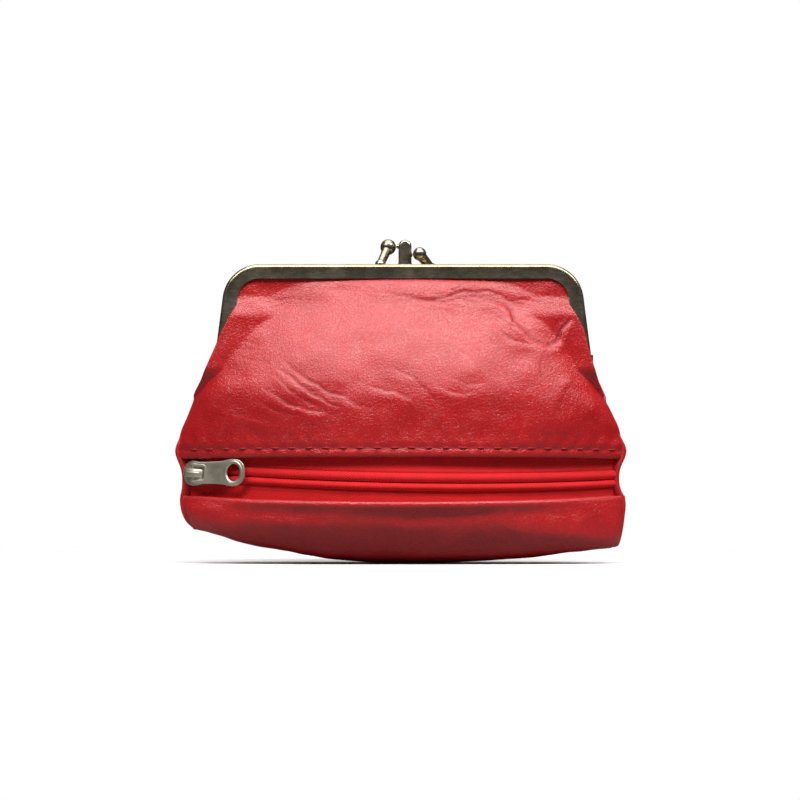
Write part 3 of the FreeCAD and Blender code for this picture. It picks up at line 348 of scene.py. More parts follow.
class Nodes:
    """Short names for building a node tree."""

    def __init__(self, name):
        self.material = bpy.data.materials.new(name)
        self.material.use_nodes = True
        self.tree = self.material.node_tree
        self.shader = self.tree.nodes["Principled BSDF"]

    def add(self, kind, inputs=None, **settings):
        node = self.tree.nodes.new(kind)
        for key, value in settings.items():
            setattr(node, key, value)
        for key, value in (inputs or {}).items():
            self.put(node, key, value)
        return node

    def put(self, node, key, value):
        if isinstance(value, bpy.types.NodeSocket):
            self.tree.links.new(value, node.inputs[key])
        else:
            node.inputs[key].default_value = value

    def rest(self):
        """Place on the piece at rest in mm, which doesn't slide when the piece bends."""
        return self.add("ShaderNodeAttribute", attribute_name="rest").outputs["Vector"]

    def place(self):
        """Place on a rigid CAD node in mm."""
        coordinates = self.add("ShaderNodeTexCoord").outputs["Object"]
        return self.add("ShaderNodeVectorMath", {0: coordinates, "Scale": 1 / MM},
                        operation="SCALE").outputs[0]

    def stretched(self, place, scale):
        return self.add("ShaderNodeVectorMath", {0: place, 1: scale},
                        operation="MULTIPLY").outputs[0]

    def noise(self, place, size, detail=2.0, rough=0.5, distortion=0.0):
        """Noise whose features are about size mm across."""
        inputs = {"Vector": place, "Scale": 1 / size, "Detail": detail, "Roughness": rough,
                  "Distortion": distortion}
        return self.add("ShaderNodeTexNoise", inputs).outputs["Fac"]

    def cell_edges(self, place, size):
        """Distance to the nearest edge between rounded cells about size mm across."""
        return self.add("ShaderNodeTexVoronoi", {"Vector": place, "Scale": 1 / size},
                        feature="DISTANCE_TO_EDGE").outputs["Distance"]

    def math(self, operation, first, second=0.0):
        return self.add("ShaderNodeMath", {0: first, 1: second}, operation=operation).outputs[0]

    def total(self, *terms):
        """The sum of (value, weight) terms."""
        result = self.math("MULTIPLY", *terms[0])
        for value, weight in terms[1:]:
            result = self.math("ADD", result, self.math("MULTIPLY", value, weight))
        return result

    def ramp(self, value, low, high, low_out=0.0, high_out=1.0):
        inputs = {"Value": value, "From Min": low, "From Max": high, "To Min": low_out,
                  "To Max": high_out}
        return self.add("ShaderNodeMapRange", inputs).outputs["Result"]

    def mix(self, share, first, second):
        node = self.add("ShaderNodeMix", data_type="RGBA")
        self.put(node, 0, share)
        self.put(node, 6, first)
        self.put(node, 7, second)
        return node.outputs[2]

    def bump(self, height, distance, strength=1.0, normal=None):
        inputs = {"Height": height, "Distance": distance * MM, "Strength": strength}
        if normal is not None:
            inputs["Normal"] = normal
        return self.add("ShaderNodeBump", inputs).outputs["Normal"]

    def finish(self, color, roughness, normal, **constants):
        for key, value in (("Base Color", color), ("Roughness", roughness), ("Normal", normal)):
            self.put(self.shader, key, value)
        for key, value in constants.items():
            self.shader.inputs[key.replace("_", " ")].default_value = value
        return self.material


def rgb(red, green, blue):
    return (red, green, blue, 1.0)


PEBBLE, SMALL_PEBBLE = 0.85, 0.34  # sizes of the leather's grain
GRAIN_DEPTH, LINE_DEPTH = 0.05, 0.03


def leather_material():
    """Soft grained leather: small pebbles with fine dark valleys, drawn lines and cloudy dye;
    painted shade darkens the creases and a painted highlight lightens the folds beside them.
    """
    n = Nodes("red_garment_leather")
    place = n.rest()
    # crease: the creases' valleys below 0 and their folds above 0, painted as shade and highlight
    # below
    crease = n.add("ShaderNodeAttribute", attribute_name="crease").outputs["Fac"]
    bent = n.noise(place, 1.6)
    pebble_place = n.add("ShaderNodeVectorMath", {0: place, 1: bent}, operation="ADD").outputs[0]
    valley = n.ramp(n.cell_edges(pebble_place, PEBBLE), 0.0, 0.2)
    small_valley = n.ramp(n.cell_edges(pebble_place, SMALL_PEBBLE), 0.0, 0.2)
    fine = n.noise(place, 0.2, detail=3.0)
    drawn = n.stretched(place, (0.5, 1.0, 1.1))
    wrinkle = n.noise(drawn, 2.0, detail=4.0, rough=0.55, distortion=0.5)
    line = n.ramp(n.math("ABSOLUTE", n.math("SUBTRACT", wrinkle, 0.5)), 0.0, 0.035)
    where = n.ramp(n.noise(place, 13.0), 0.46, 0.66)
    line = n.math("MAXIMUM", line, n.math("SUBTRACT", 1.0, where))
    patches = n.noise(place, 9.0, detail=3.0)
    cloudy = n.noise(place, 22.0)
    body = n.mix(n.ramp(patches, 0.3, 0.7), rgb(0.50, 0.005, 0.007), rgb(0.59, 0.008, 0.010))
    body = n.mix(n.ramp(cloudy, 0.35, 0.7, 0.0, 0.35), body, rgb(0.65, 0.013, 0.016))
    body = n.mix(n.ramp(valley, 0.0, 1.0, 0.4, 0.0), body, rgb(0.36, 0.003, 0.007))
    body = n.mix(n.ramp(line, 0.0, 1.0, 0.45, 0.0), body, rgb(0.34, 0.003, 0.007))
    # painted shade: the leather is darker down in the creases' valleys
    body = n.mix(n.ramp(crease, -0.3, -0.03, 0.85, 0.0), body, rgb(0.27, 0.002, 0.005))
    # painted highlight: the leather is lighter on the raised folds beside the creases
    body = n.mix(n.ramp(crease, 0.03, 0.25, 0.0, 0.35), body, rgb(0.82, 0.05, 0.055))
    rough = n.ramp(n.noise(place, 4.0, detail=4.0), 0.3, 0.7, 0.29, 0.38)
    rough = n.math("ADD", rough, n.ramp(crease, -0.3, 0.0, 0.15, 0.0))
    grain = n.total((valley, 0.8), (small_valley, 0.35), (fine, 0.35))
    normal = n.bump(grain, GRAIN_DEPTH, 0.9, n.bump(line, LINE_DEPTH, 0.6))
    return n.finish(body, rough, normal, Specular_IOR_Level=0.7)


def cloth_material(name, dark, light, thread, angle=0.0, cross=1.0, rough=0.85, sheen=0.15):
    """Woven cloth, threads about thread mm apart; little cross makes a twill's slant lines."""
    n = Nodes(name)
    place = n.rest()
    turning = {"Vector": place, "Axis": (0, 1, 0), "Angle": angle}
    slanted = n.add("ShaderNodeVectorRotate", turning, rotation_type="AXIS_ANGLE").outputs[0]
    parts = n.add("ShaderNodeSeparateXYZ", {0: slanted})
    wobble = n.math("MULTIPLY", n.noise(place, thread * 6), thread * 1.2)
    lines = []
    for part in (parts.outputs[0], parts.outputs[2]):
        phase = n.math("MULTIPLY", n.math("ADD", part, wobble), 2 * math.pi / thread)
        lines.append(n.ramp(n.math("SINE", phase), -1.0, 1.0))
    weave = n.math("DIVIDE", n.total((lines[0], cross), (lines[1], 1.0)), 1.0 + cross)
    fuzz = n.noise(place, 0.15, detail=3.0)
    tone = n.total((weave, 0.65), (n.noise(place, 4.0), 0.45))
    color = n.mix(n.ramp(tone, 0.2, 0.9), dark, light)
    normal = n.bump(n.total((weave, 1.0), (fuzz, 0.4)), thread * 0.22, 0.8)
    roughness = n.ramp(fuzz, 0.3, 0.7, rough - 0.08, rough + 0.08)
    return n.finish(color, roughness, normal, Sheen_Weight=sheen, Sheen_Roughness=0.5,
                    Specular_IOR_Level=0.25)


PLY_TURN = 16.0  # radians of twist in a mm of thread


def thread_material(name, dark, light):
    """Twisted thread with a slanting ply and a little fuzz."""
    n = Nodes(name)
    place = n.rest()
    parts = n.add("ShaderNodeSeparateXYZ", {0: place})
    slant = n.math("ADD", parts.outputs[0], parts.outputs[2])
    ply = n.ramp(n.math("SINE", n.math("MULTIPLY", slant, PLY_TURN)), -1.0, 1.0)
    fuzz = n.noise(place, 0.08)
    normal = n.bump(n.total((ply, 1.0), (fuzz, 0.5)), 0.05, 0.7)
    return n.finish(n.mix(ply, dark, light), n.ramp(fuzz, 0.3, 0.7, 0.5, 0.7), normal)


def metal_material(name, dark, light, worn, rough_low, rough_high, brush=(1, 1, 1)):
    """Plated metal with soft patches, fine scratches and paler worn edges."""
    n = Nodes(name)
    place = n.place()
    patches = n.noise(place, 6.0, detail=4.0, rough=0.6)
    scratches = n.noise(n.stretched(place, brush), 0.35, detail=3.0, rough=0.6)
    edge = n.add("ShaderNodeNewGeometry").outputs["Pointiness"]
    color = n.mix(n.ramp(patches, 0.35, 0.7), dark, light)
    color = n.mix(n.ramp(scratches, 0.55, 0.8, 0.0, 0.35), color, worn)
    color = n.mix(n.ramp(edge, 0.52, 0.6, 0.0, 0.8), color, worn)
    roughness = n.math("ADD", n.ramp(patches, 0.3, 0.7, rough_low, rough_high),
                       n.ramp(scratches, 0.4, 0.8, 0.0, 0.08))
    return n.finish(color, roughness, n.bump(scratches, 0.012, 0.5), Metallic=1.0)


def paper_material():
    """Brown twisted paper, as pressed into a purse frame's channel."""
    n = Nodes("twisted_paper")
    place = n.place()
    turn = n.noise(n.stretched(place, (1.0, 3.0, 1.0)), 0.7, detail=3.0)
    color = n.mix(turn, rgb(0.42, 0.33, 0.22), rgb(0.68, 0.58, 0.42))
    return n.finish(color, n.ramp(turn, 0.2, 0.8, 0.75, 0.9), n.bump(turn, 0.1, 0.6))


LEATHER_SKIN = leather_material()
LINING_CLOTH = cloth_material("lining_weave", rgb(0.055, 0.045, 0.045), rgb(0.15, 0.13, 0.13), 0.42)
TAPE_CLOTH = cloth_material("zip_tape_twill", rgb(0.58, 0.006, 0.009), rgb(0.92, 0.014, 0.018),
                            0.52, angle=math.radians(40), cross=0.15, rough=0.65, sheen=0.05)
SEAM_THREAD = thread_material("seam_thread", rgb(0.26, 0.004, 0.007), rgb(0.46, 0.008, 0.013))
GUNMETAL = metal_material("gunmetal_plate", rgb(0.32, 0.245, 0.15), rgb(0.44, 0.365, 0.235),
                          rgb(0.62, 0.58, 0.46), 0.2, 0.3, brush=(0.15, 1, 1))
CLASP_METAL = metal_material("clasp_plate", rgb(0.30, 0.25, 0.18), rgb(0.42, 0.36, 0.28),
                             rgb(0.7, 0.66, 0.56), 0.24, 0.34)
ZIP_METAL = metal_material("zip_nickel", rgb(0.60, 0.56, 0.43), rgb(0.72, 0.69, 0.56),
                           rgb(0.92, 0.9, 0.82), 0.36, 0.48)
PAPER = paper_material()


# ---------------- the leather's shape

LIP_ROLL = 1.5  # thickness of the turned edge beside the zip
SEAM_HALF_GAP = 0.35  # half of the line between the two skins

# height, half width of the leather at its side edge, where the front and the back are alike
UPPER_WIDTHS = [(29, 57.45), (33, 56.0), (38, 54.0), (43, 52.2), (47, 50.8), (52, 49.2),
                (56, 47.6), (60, 46.0), (64, 44.0), (HEM_LOW, 42.6)]
FRONT_WIDTH = smooth_curve([(27, 57.3)] + UPPER_WIDTHS)
# height, how much further out the front leather reaches on the left and on the right
LEFT_EXTRA = smooth_curve([(27, 0.9), (31, 1.3), (36, 1.9), (42, 1.8), (48, 0.6), (54, 0.1),
                           (60, 0)])
RIGHT_EXTRA = smooth_curve([(27, -0.5), (32, -0.1), (36, 0.6), (40, 0.3), (45, -0.9), (50, -1.2),
                            (54, -0.9), (60, 0)])
# height, depth of the leather's face at the middle
MIDDLE_DEPTH = smooth_curve([(27, 17.4), (30, 17.5), (36, 17.4), (41, 17.1), (45, 16.4), (49, 15.3),
                             (54, 13.5), (60, 10.9), (66, 8.1), (70, 6.5), (72, 5.7), (73.2, 4.9),
                             (SKIN_TOP, SLOT_Y)])
# height, how blunt the section is: 1 is nearly an arc, less is rounder at the sides
BLUNT = smooth_curve([(27, 0.92), (33, 0.8), (40, 0.62), (47, 0.52), (60, 0.52), (68, 0.5),
                      (SKIN_TOP, 0.45)])
# height, depth of the side edge: at the seam low down, in front of the frame's leg higher up
EDGE_DEPTH = smooth_curve([(27, SEAM_HALF_GAP), (41, SEAM_HALF_GAP), (46, 3.6), (50.5, 6.3),
                           (63, 6.3), (66.5, 5.4), (69, SLOT_Y), (SKIN_TOP, SLOT_Y)])


def hemmed(width, z):
    """Half width of the leather: free below, inside the frame's channel at the top."""
    share = smooth_step(z, HEM_LOW, HEM_HIGH)
    return width * (1 - share) + frame_line(z, HEM_OFFSET) * share


SECTION_POWER = 2.15  # 2 would make a plain bulge an ellipse's
SECTION_SOFT = 0.12  # how softly the bulge meets the side edge


def section_depth(across, middle, edge, blunt):
    """Depth of a level section: a bulge over the middle that meets the side edge's own depth."""
    bulge = middle * np.clip(1 - np.abs(across) ** SECTION_POWER, 0, None) ** blunt
    soft = SECTION_SOFT * (middle - edge)
    return (bulge + edge + np.sqrt((bulge - edge) ** 2 + soft ** 2 * (1 - across ** 2))) / 2


def skin(across, z):
    """The front skin's outer face: across runs from -1 to 1, z is a height in mm."""
    depth = section_depth(across, MIDDLE_DEPTH(z), EDGE_DEPTH(z), BLUNT(z))
    width = FRONT_WIDTH(z) + np.where(across < 0, LEFT_EXTRA(z), RIGHT_EXTRA(z))
    return np.stack([across * hemmed(width, z), -depth, z], -1)


def column_places(count):
    """Places from -1 to 1, closer together towards the sides."""
    u = np.linspace(-1, 1, count)
    return 0.45 * u + 0.55 * np.sin(u * math.pi / 2)


# creases of the front: points (across, height) in mm, depth, half width, bulge beside it
# a positive bulge lifts the leather on the right of the drawn line, a negative one on its left
CREASES = [
    ([(-32, 50.5), (-27.3, 45.9), (-22.5, 42.7), (-15.5, 38.7)], 0.24, 0.36, 0.34),
    ([(-33.4, 48.6), (-28.9, 44.2), (-24.1, 41.0), (-18.4, 38.0)], 0.15, 0.3, 0.16),
    ([(-30.2, 51.4), (-25.5, 47.5), (-18.5, 43.2), (-8, 38.8)], 0.22, 0.34, 0.3),
    ([(-26.5, 46.4), (-20.5, 42.6), (-14.0, 40.2)], 0.12, 0.26, 0.1),
    ([(-35.6, 44.8), (-30.2, 41.0), (-24.0, 38.9), (-17.0, 37.3)], 0.2, 0.36, 0.3),
    ([(-37.0, 41.6), (-31.5, 38.6), (-25.5, 37.0)], 0.12, 0.3, 0.12),
    ([(-9, 44.9), (-2.3, 43.1), (4, 39.8)], 0.15, 0.32, 0.22),
    ([(-4, 49.4), (3.4, 46.0)], 0.12, 0.28, 0.14),
    ([(2.2, 47.6), (9.2, 39.8)], 0.12, 0.3, -0.14),
    ([(8.5, 44.3), (15.0, 42.6), (19.0, 43.6)], 0.1, 0.28, 0.12),
    ([(10.0, 47.2), (16.5, 45.0), (21.5, 46.0)], 0.08, 0.28, 0.1),
    ([(-42.8, 57.0), (-35, 55.4)], 0.11, 0.25, 0.05),
    ([(-42.4, 55.2), (-36, 54.3)], 0.1, 0.25, 0.05),
    ([(-43.0, 53.0), (-38.5, 51.6), (-34.0, 50.8)], 0.09, 0.25, 0.04),
    ([(-7.8, 70.0), (4.1, 67.4), (10.8, 68.1), (16, 70.0), (22, 69.8), (28.9, 67.6), (41.0, 66.4)],
     0.17, 0.28, -0.12),
    ([(-1.2, 66.8), (10.8, 67.0), (17.5, 67.3), (24.4, 66.2)], 0.15, 0.26, 0.1),
    ([(-0.5, 69.2), (9.0, 66.6), (16.6, 65.3)], 0.12, 0.24, 0.06),
    ([(6.0, 69.6), (14.0, 68.2), (20.5, 68.6), (25.0, 67.4)], 0.11, 0.24, 0.05),
    ([(16.6, 68.8), (24.5, 66.9), (27.8, 64.8), (28.6, 62.0), (33.2, 57.3), (40.4, 54.6)],
     0.27, 0.32, 0.36),
    ([(23.5, 62.6), (27.5, 60.8), (31.5, 58.6)], 0.12, 0.25, 0.1),
    ([(24.3, 59.2), (27, 56.9), (34, 55.4)], 0.18, 0.3, 0.2),
    ([(43.4, 63.0), (40.6, 59.9), (39.6, 57.0), (36, 55.0)], 0.4, 0.4, -0.75),
    ([(36.2, 53.6), (34.6, 49.5), (35.9, 45.0)], 0.08, 0.5, 0.12),
    ([(-38, 66.5), (-30, 68.0), (-21, 67.2)], 0.07, 0.3, 0.06),
    ([(8, 58.5), (14, 56.6), (21, 57.2)], 0.05, 0.3, 0.08),
    ([(-47, 40.5), (-41, 37.5), (-33, 36.0)], 0.06, 0.4, 0.2),
    ([(44.5, 47.5), (41, 43.5), (39.5, 38.5)], 0.06, 0.4, 0.2),
]


def beside_line(x, z, points, wander):
    """For each place: its distance from a line, how far along the line it is, and on which side."""
    points = np.array(points, float)
    spans = np.linalg.norm(np.diff(points, axis=0), axis=1)
    nearest, share, side = np.full(x.shape, 1e9), np.zeros_like(x), np.zeros_like(x)
    passed = 0.0
    for start, end, span in zip(points[:-1], points[1:], spans):
        run, rise = (end - start) / span
        across, up = x - start[0] + wander, z - start[1] + wander
        along = np.clip(across * run + up * rise, 0, span)
        gap = np.hypot(across - along * run, up - along * rise)
        closer = gap < nearest
        nearest = np.where(closer, gap, nearest)
        share = np.where(closer, (passed + along) / spans.sum(), share)
        side = np.where(closer, across * rise - up * run, side)
        passed += span
    return nearest, share, side


MAIN_VALLEY = 1.25  # depth of a crease against the listed one
FINE_LINES = ((1.15, 0.5), (2.2, 0.3))  # distance beside a crease, depth against it
FINE_LINE_WIDTH = 0.26
FOLD_REACH = 2.1  # how far the soft fold beside a crease goes
FOLD_HEIGHT = 0.6  # its height against the listed bulge


def crease_field(x, z, creases):
    """Height of the leather's creases in mm: thin valleys, and the soft folds beside them."""
    valleys, folds = np.zeros_like(x), np.zeros_like(x)
    place = np.stack([x, z, 0 * x], -1)
    for number, (points, depth, width, bulge) in enumerate(creases):
        wander = 0.5 * wavy(place, 3.2, 3.1 * number) + 0.2 * wavy(place, 1.1, 5.3 * number)
        nearest, share, side = beside_line(x, z, points, wander)
        side = side * math.copysign(1.0, bulge)
        fade = np.sin(math.pi * np.clip(share, 0.02, 0.98)) ** 0.6
        valleys -= MAIN_VALLEY * depth * fade * np.exp(-(nearest / width) ** 2)
        for spacing, part in FINE_LINES:
            line = spacing + 0.35 * wavy(place, 2.1, 7.7 * number + spacing)
            broken = smooth_step(wavy(place, 3.0, 1.9 * number + spacing), -0.2, 0.25) * (side > 0)
            fine = np.exp(-((nearest - line) / FINE_LINE_WIDTH) ** 2)
            valleys -= part * depth * broken * fade * fine
        lean = np.tanh(side / (1.2 * width))
        broad = (nearest + 0.2) * np.exp(-(nearest / FOLD_REACH) ** 2)
        folds += abs(bulge) * fade ** 1.5 * broad * (0.35 + lean) * FOLD_HEIGHT
    return valleys, folds


def sagging(grid, large, large_seed, small_seed):
    """Soft unevenness of the leather: broad hollows large mm across, and smaller ones on them."""
    return 0.5 * wavy(grid, large, large_seed) + 0.2 * wavy(grid, 5.0, small_seed)


STITCH_PITCH = 4.3
STITCH_Z = 29.2
SEAM_DEPTH, SEAM_WIDTH = 0.38, 0.75  # of the dip that the stitches pull in the leather
PUCKER_Z = 31.2  # small puckers stand just over the stitches


def seam_field(z, x):
    """Leather pulled down along the stitch row, most at each stitch."""
    pull = 0.7 + 0.3 * np.cos(2 * math.pi * x / STITCH_PITCH)
    return -SEAM_DEPTH * pull * np.exp(-((z - STITCH_Z) / SEAM_WIDTH) ** 2)


def front_skin_grid(rows=118, columns=250):
    """Outer face of the front leather with its hem, seam line and creases."""
    z, across = spread(np.linspace(UPPER_LIP + 0.5, SKIN_TOP, rows), column_places(columns))
    grid = skin(across, z)
    normal = grid_normals(grid)
    x = grid[..., 0]
    free = smooth_step(74.0 - z, 0, 4) * smooth_step(1 - np.abs(across), 0.0, 0.05)
    valleys, folds = crease_field(x, z, CREASES)
    sag = sagging(grid, 13.0, 7.7, 1.3) * smooth_step(z, 28, 34)
    gathers = 0.09 * wavy(grid * (2.2, 1, 0.35), 2.4, 9.1) * np.exp(-((z - 71.8) / 2.0) ** 2)
    seam = seam_field(z, x)
    puckers = 0.1 * np.cos(2 * math.pi * x / STITCH_PITCH) * np.exp(-((z - PUCKER_Z) / 1.6) ** 2)
    height = (valleys + folds + sag + gathers) * free + seam + puckers
    # the second value is the crease field for the leather's painted shade and highlight; the seam's
    # dip adds painted shade along the stitch row
    return grid + normal * height[..., None], (valleys + 0.2 * folds) * free + 0.25 * seam


def make_front_leather(grid, creases):
    """The front's leather, with a thick turned edge over the zip."""
    z = grid[..., 2]
    thick = LEATHER + (LIP_ROLL - LEATHER) * (1 - smooth_step(z, 28.0, 30.5))
    thick = np.where(z > SKIVED_FROM, SKIVED, thick)
    piece = closed_sheet("front_leather_skin", grid, thick, LEATHER_SKIN, "red_leather", creases)
    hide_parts("upper_front_leather", "front_leather_fold", "lower_front_leather")
    return piece


# ---------------- back and base leather

LOWER_LIP_MIDDLE = 15.3
LOWER_LIP_TILT = math.tan(math.radians(6.5))
ARC_RADIUS = (HALF_WIDTH ** 2 + HALF_DEPTH ** 2) / (2 * HALF_DEPTH)

# height, half width of the side, which draws in beside the zip
BACK_WIDTH = smooth_curve([(16, 57.1), (18.5, 56.0), (21.5, 55.5), (24.5, 55.8), (27, 56.9)]
                          + UPPER_WIDTHS)
# height, how much further out the back reaches on the left
BACK_LEFT_EXTRA = smooth_curve([(16, 0.2), (19, 1.0), (24, 1.3), (29, 1.2), (36, 1.4), (42, 1.1),
                                (48, 0.3), (54, 0)])
BACK_DEPTH = smooth_curve([(16, 17.4), (27, 17.5), (34, 17.3), (40, 16.4), (44, 15.4), (48, 14.0),
                           (54, 11.8), (60, 9.7), (66, 7.8), (70, 6.7), (72, 5.9), (73.2, 4.9),
                           (SKIN_TOP, SLOT_Y)])

# rows of the skin from the lip under the zip, round the base, to the back's low part:
# depth and height at the middle, height and half width at the left end and at the right end,
# depth at the ends, bluntness
BASE_ROWS = [
    (-17.4, 15.0, 17.1, 57.3, 17.1, 57.1, -0.4, 0.92),
    (-16.4, 11.8, 14.0, 56.9, 12.4, 57.0, -0.4, 0.78),
    (-14.6, 8.3, 11.2, 55.4, 7.2, 56.3, -0.5, 0.64),
    (-11.4, 4.4, 9.2, 54.0, 5.0, 55.2, -0.8, 0.58),
    (-7.4, 1.1, 8.7, 53.2, 4.1, 53.8, -0.8, 0.58),
    (0.0, 0.05, 8.6, 52.8, 3.9, 53.2, 0.0, 0.58),
    (9.6, 0.7, 8.7, 53.2, 4.1, 53.8, 0.8, 0.58),
    (15.0, 4.4, 9.2, 54.4, 4.9, 55.6, 0.8, 0.60),
    (16.9, 9.6, 11.6, 56.4, 10.4, 56.7, 0.5, 0.72),
]
BASE_RISE = 1.95  # how late the base rises towards its ends
BACK_HEIGHTS = (16, 20, 24, 29, 34, 40, 44, 47, 51, 56, 61, 66, 69, 71, 72.6, 73.6, SKIN_TOP)


def back_row(z):
    """A row of the back at one height, in the same terms as BASE_ROWS."""
    right = float(BACK_WIDTH(z))
    left = right + float(BACK_LEFT_EXTRA(z))
    return (float(BACK_DEPTH(z)), z, z, left, z, right, float(EDGE_DEPTH(z)), float(BLUNT(z)))


def front_arc(x):
    """Depth of the plain arc that the zip follows."""
    reach = np.clip(np.abs(x), 0, HALF_WIDTH)
    return np.sqrt(ARC_RADIUS ** 2 - reach ** 2) - (ARC_RADIUS - HALF_DEPTH)


def lower_lip(x):
    return LOWER_LIP_MIDDLE + (HALF_DEPTH - front_arc(x)) * LOWER_LIP_TILT


def back_skin_base(rows=200, columns=220):
    """The outer face of the base and back, from the lip under the zip to the back channel."""
    table = resampled(np.array(BASE_ROWS + [back_row(z) for z in BACK_HEIGHTS]), rows)
    depth, middle_z, left_z, left_w, right_z, right_w, edge, blunt = (c[:, None] for c in table.T)
    across = column_places(columns)[None, :]
    on_left = across < 0
    end_z = np.where(on_left, left_z, right_z)
    width = hemmed(np.where(on_left, left_w, right_w), middle_z)
    y = np.sign(depth) * section_depth(across, np.abs(depth), np.abs(edge), blunt)
    z = middle_z + (end_z - middle_z) * np.abs(across) ** BASE_RISE
    return np.stack([across * width, y, z + 0 * y], -1)


BACK_CREASES = [
    ([(-30, 60), (-22, 55), (-12, 53)], 0.2, 0.34, 0.3),
    ([(-27, 57.5), (-20, 53.4), (-14, 51.8)], 0.12, 0.28, 0.1),
    ([(18, 64), (27, 60), (31, 54), (40, 51)], 0.22, 0.34, 0.32),
    ([(-44, 44), (-36, 40), (-27, 38.5)], 0.22, 0.36, 0.3),
    ([(-43, 41), (-36, 37.6), (-29, 36.6)], 0.12, 0.3, 0.12),
    ([(5, 45), (14, 42), (20, 37)], 0.16, 0.32, 0.24),
    ([(-10, 34), (-3, 31), (6, 30.5)], 0.08, 0.36, 0.2),
    ([(30, 33), (38, 30), (47, 31)], 0.1, 0.38, 0.26),
    ([(-5, 68.5), (8, 67), (22, 68.8)], 0.14, 0.27, 0.1),
    ([(-43, 60), (-39, 57), (-36, 52)], 0.24, 0.36, 0.34),
    ([(-52, 27), (-44, 24), (-34, 23)], 0.08, 0.4, 0.24),
]
# folds of the band under the zip, and of the underside's corners
BASE_CREASES = [
    ([(-49, 15.2), (-46.5, 12.6), (-47.5, 9.8)], 0.0, 0.4, 0.5),
    ([(-38, 13.6), (-30, 11.4), (-22, 12.2)], 0.0, 0.4, 0.22),
    ([(50, 14.8), (44, 11.0), (41.5, 6.8)], 0.0, 0.4, -0.6),
    ([(-8, 11.6), (2, 10.2), (10, 10.8)], 0.0, 0.4, 0.16),
    ([(22, 12.0), (30, 9.6), (37, 9.4)], 0.0, 0.4, 0.2),
]


LIP_ROLL_HEIGHT, LIP_ROLL_REACH = 0.4, 0.75  # the roll of the lower lip's edge
TUCK_DEPTH, TUCK_REACH = 0.4, 1.5  # and the hollow under it


def back_relief(grid):
    """How far the back and base stand out from their plain shape, and their creases' field for the
    leather's painted shade and highlight.
    """
    x, y, z = grid[..., 0], grid[..., 1], grid[..., 2]
    behind, ahead = smooth_step(y, 0.5, 5), smooth_step(-y, 6, 12)
    below_lip = lower_lip(x) - z
    inner = smooth_step(1 - np.abs(column_places(grid.shape[1]))[None, :], 0.0, 0.05)
    free = smooth_step(74.0 - z, 0, 4) * inner
    valleys, folds = crease_field(x, z, BACK_CREASES)
    base_folds = crease_field(x, z, BASE_CREASES)[1] * ahead
    under_lip = np.where(y < 0, smooth_step(below_lip, 0.8, 3.0), 1)
    sag = sagging(grid, 12.0, 21.0, 4.4) * smooth_step(z, 0.2, 2.5) * under_lip
    edge_wave = 0.25 * wavy(np.stack([x, 0 * x, 0 * x], -1), 9.0, 31.0)
    roll = LIP_ROLL_HEIGHT * np.exp(-((below_lip - 0.7) / LIP_ROLL_REACH) ** 2) * ahead
    tuck = -TUCK_DEPTH * np.exp(-((below_lip - 3.0 + edge_wave) / TUCK_REACH) ** 2) * ahead
    height = ((valleys + folds) * behind + base_folds + sag) * free + (roll + tuck) * inner
    return height, (valleys + 0.2 * folds) * behind * free


def make_back_leather():
    """One piece of leather from the lip under the zip, round the base and up the back."""
    base = back_skin_base()[:, ::-1]  # from behind, columns run the other way
    x, y, z = base[..., 0], base[..., 1], base[..., 2]
    height, creases = back_relief(base)
    grid = base + grid_normals(base) * height[..., None]
    grid[..., 2] = np.maximum(grid[..., 2], 0.02)
    lip_share = smooth_step(z, 11.0, 13.0) * smooth_step(-y, -1, 2)
    lip_share = lip_share * smooth_step(0.97 - np.abs(x) / HALF_WIDTH, 0, 0.06)
    thick = LEATHER + (LIP_ROLL - LEATHER) * lip_share
    thick = np.where(z > SKIVED_FROM, SKIVED, thick)
    piece = closed_sheet("back_leather_skin", grid, thick, LEATHER_SKIN, "red_leather", creases)
    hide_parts("upper_back_leather", "back_leather_fold", "lower_back_leather",
                "base_leather")
    return piece


# ---------------- linings

def inset(grid, distance):
    return grid - grid_normals(grid) * distance


LINING_GAP, POCKET_GAP = 0.75, 0.55  # between the leather's inside and its linings
FOLD_ROOM, FOLD_SPREAD = 0.9, 5.0  # the lining lies slack where the bag folds


def make_compartment_lining(side):
    """Lining of one compartment, just inside the leather."""
    z, across = spread(np.linspace(32.4, 71.6, 60), np.linspace(-1, 1, 90) * 0.86)
    grid = inset(skin(across, z), LEATHER + LINING_GAP)
    grid[..., 1] += 0.25 * wavy(grid, 6.0, 5.0 + side)
    grid[..., 1] += FOLD_ROOM * np.exp(-((z - HINGE_Z) / FOLD_SPREAD) ** 2) * (1 - across ** 2)
    if side == BACK:
        grid[..., 1] += (MIDDLE_DEPTH(z) - BACK_DEPTH(z)) * (1 - across ** 4)
        grid = grid * (-1, -1, 1)
    name = SIDE_NAME[side]
    piece = closed_sheet(name + "_lining_cloth", grid, LINING, LINING_CLOTH, "lining_cloth")
    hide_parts(name + "_flap_lining", name + "_compartment_lining")
    return piece


def make_divider_cloth():
    """Panel of stiffened lining between the compartments, hemmed into the centre frame."""
    low, high = lowest("divider_panel")[2], highest("divider_panel")[2]
    thick = highest("divider_panel")[1] - lowest("divider_panel")[1]
    z, across = spread(np.linspace(low + 0.4, high - 0.3, 50), np.linspace(-1, 1, 90))
    width = np.where(z < LEG_FOOT_Z, 44.0, frame_line(z, 3.0) - 0.3)
    held = smooth_step(high - z, 1, 8) * smooth_step(1 - np.abs(across), 0.02, 0.2)
    y = -thick / 2 + 0.35 * held * np.sin(across * 5.0 + z * 0.12)
    grid = np.stack([across * width, y, z], -1)
    piece = closed_sheet("divider_cloth", grid, thick * 0.8, LINING_CLOTH, "lining_cloth")
    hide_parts("divider_panel")
    return piece


POCKET_FLOOR_Z = 31.0  # the floor is cut to the leather's outline here


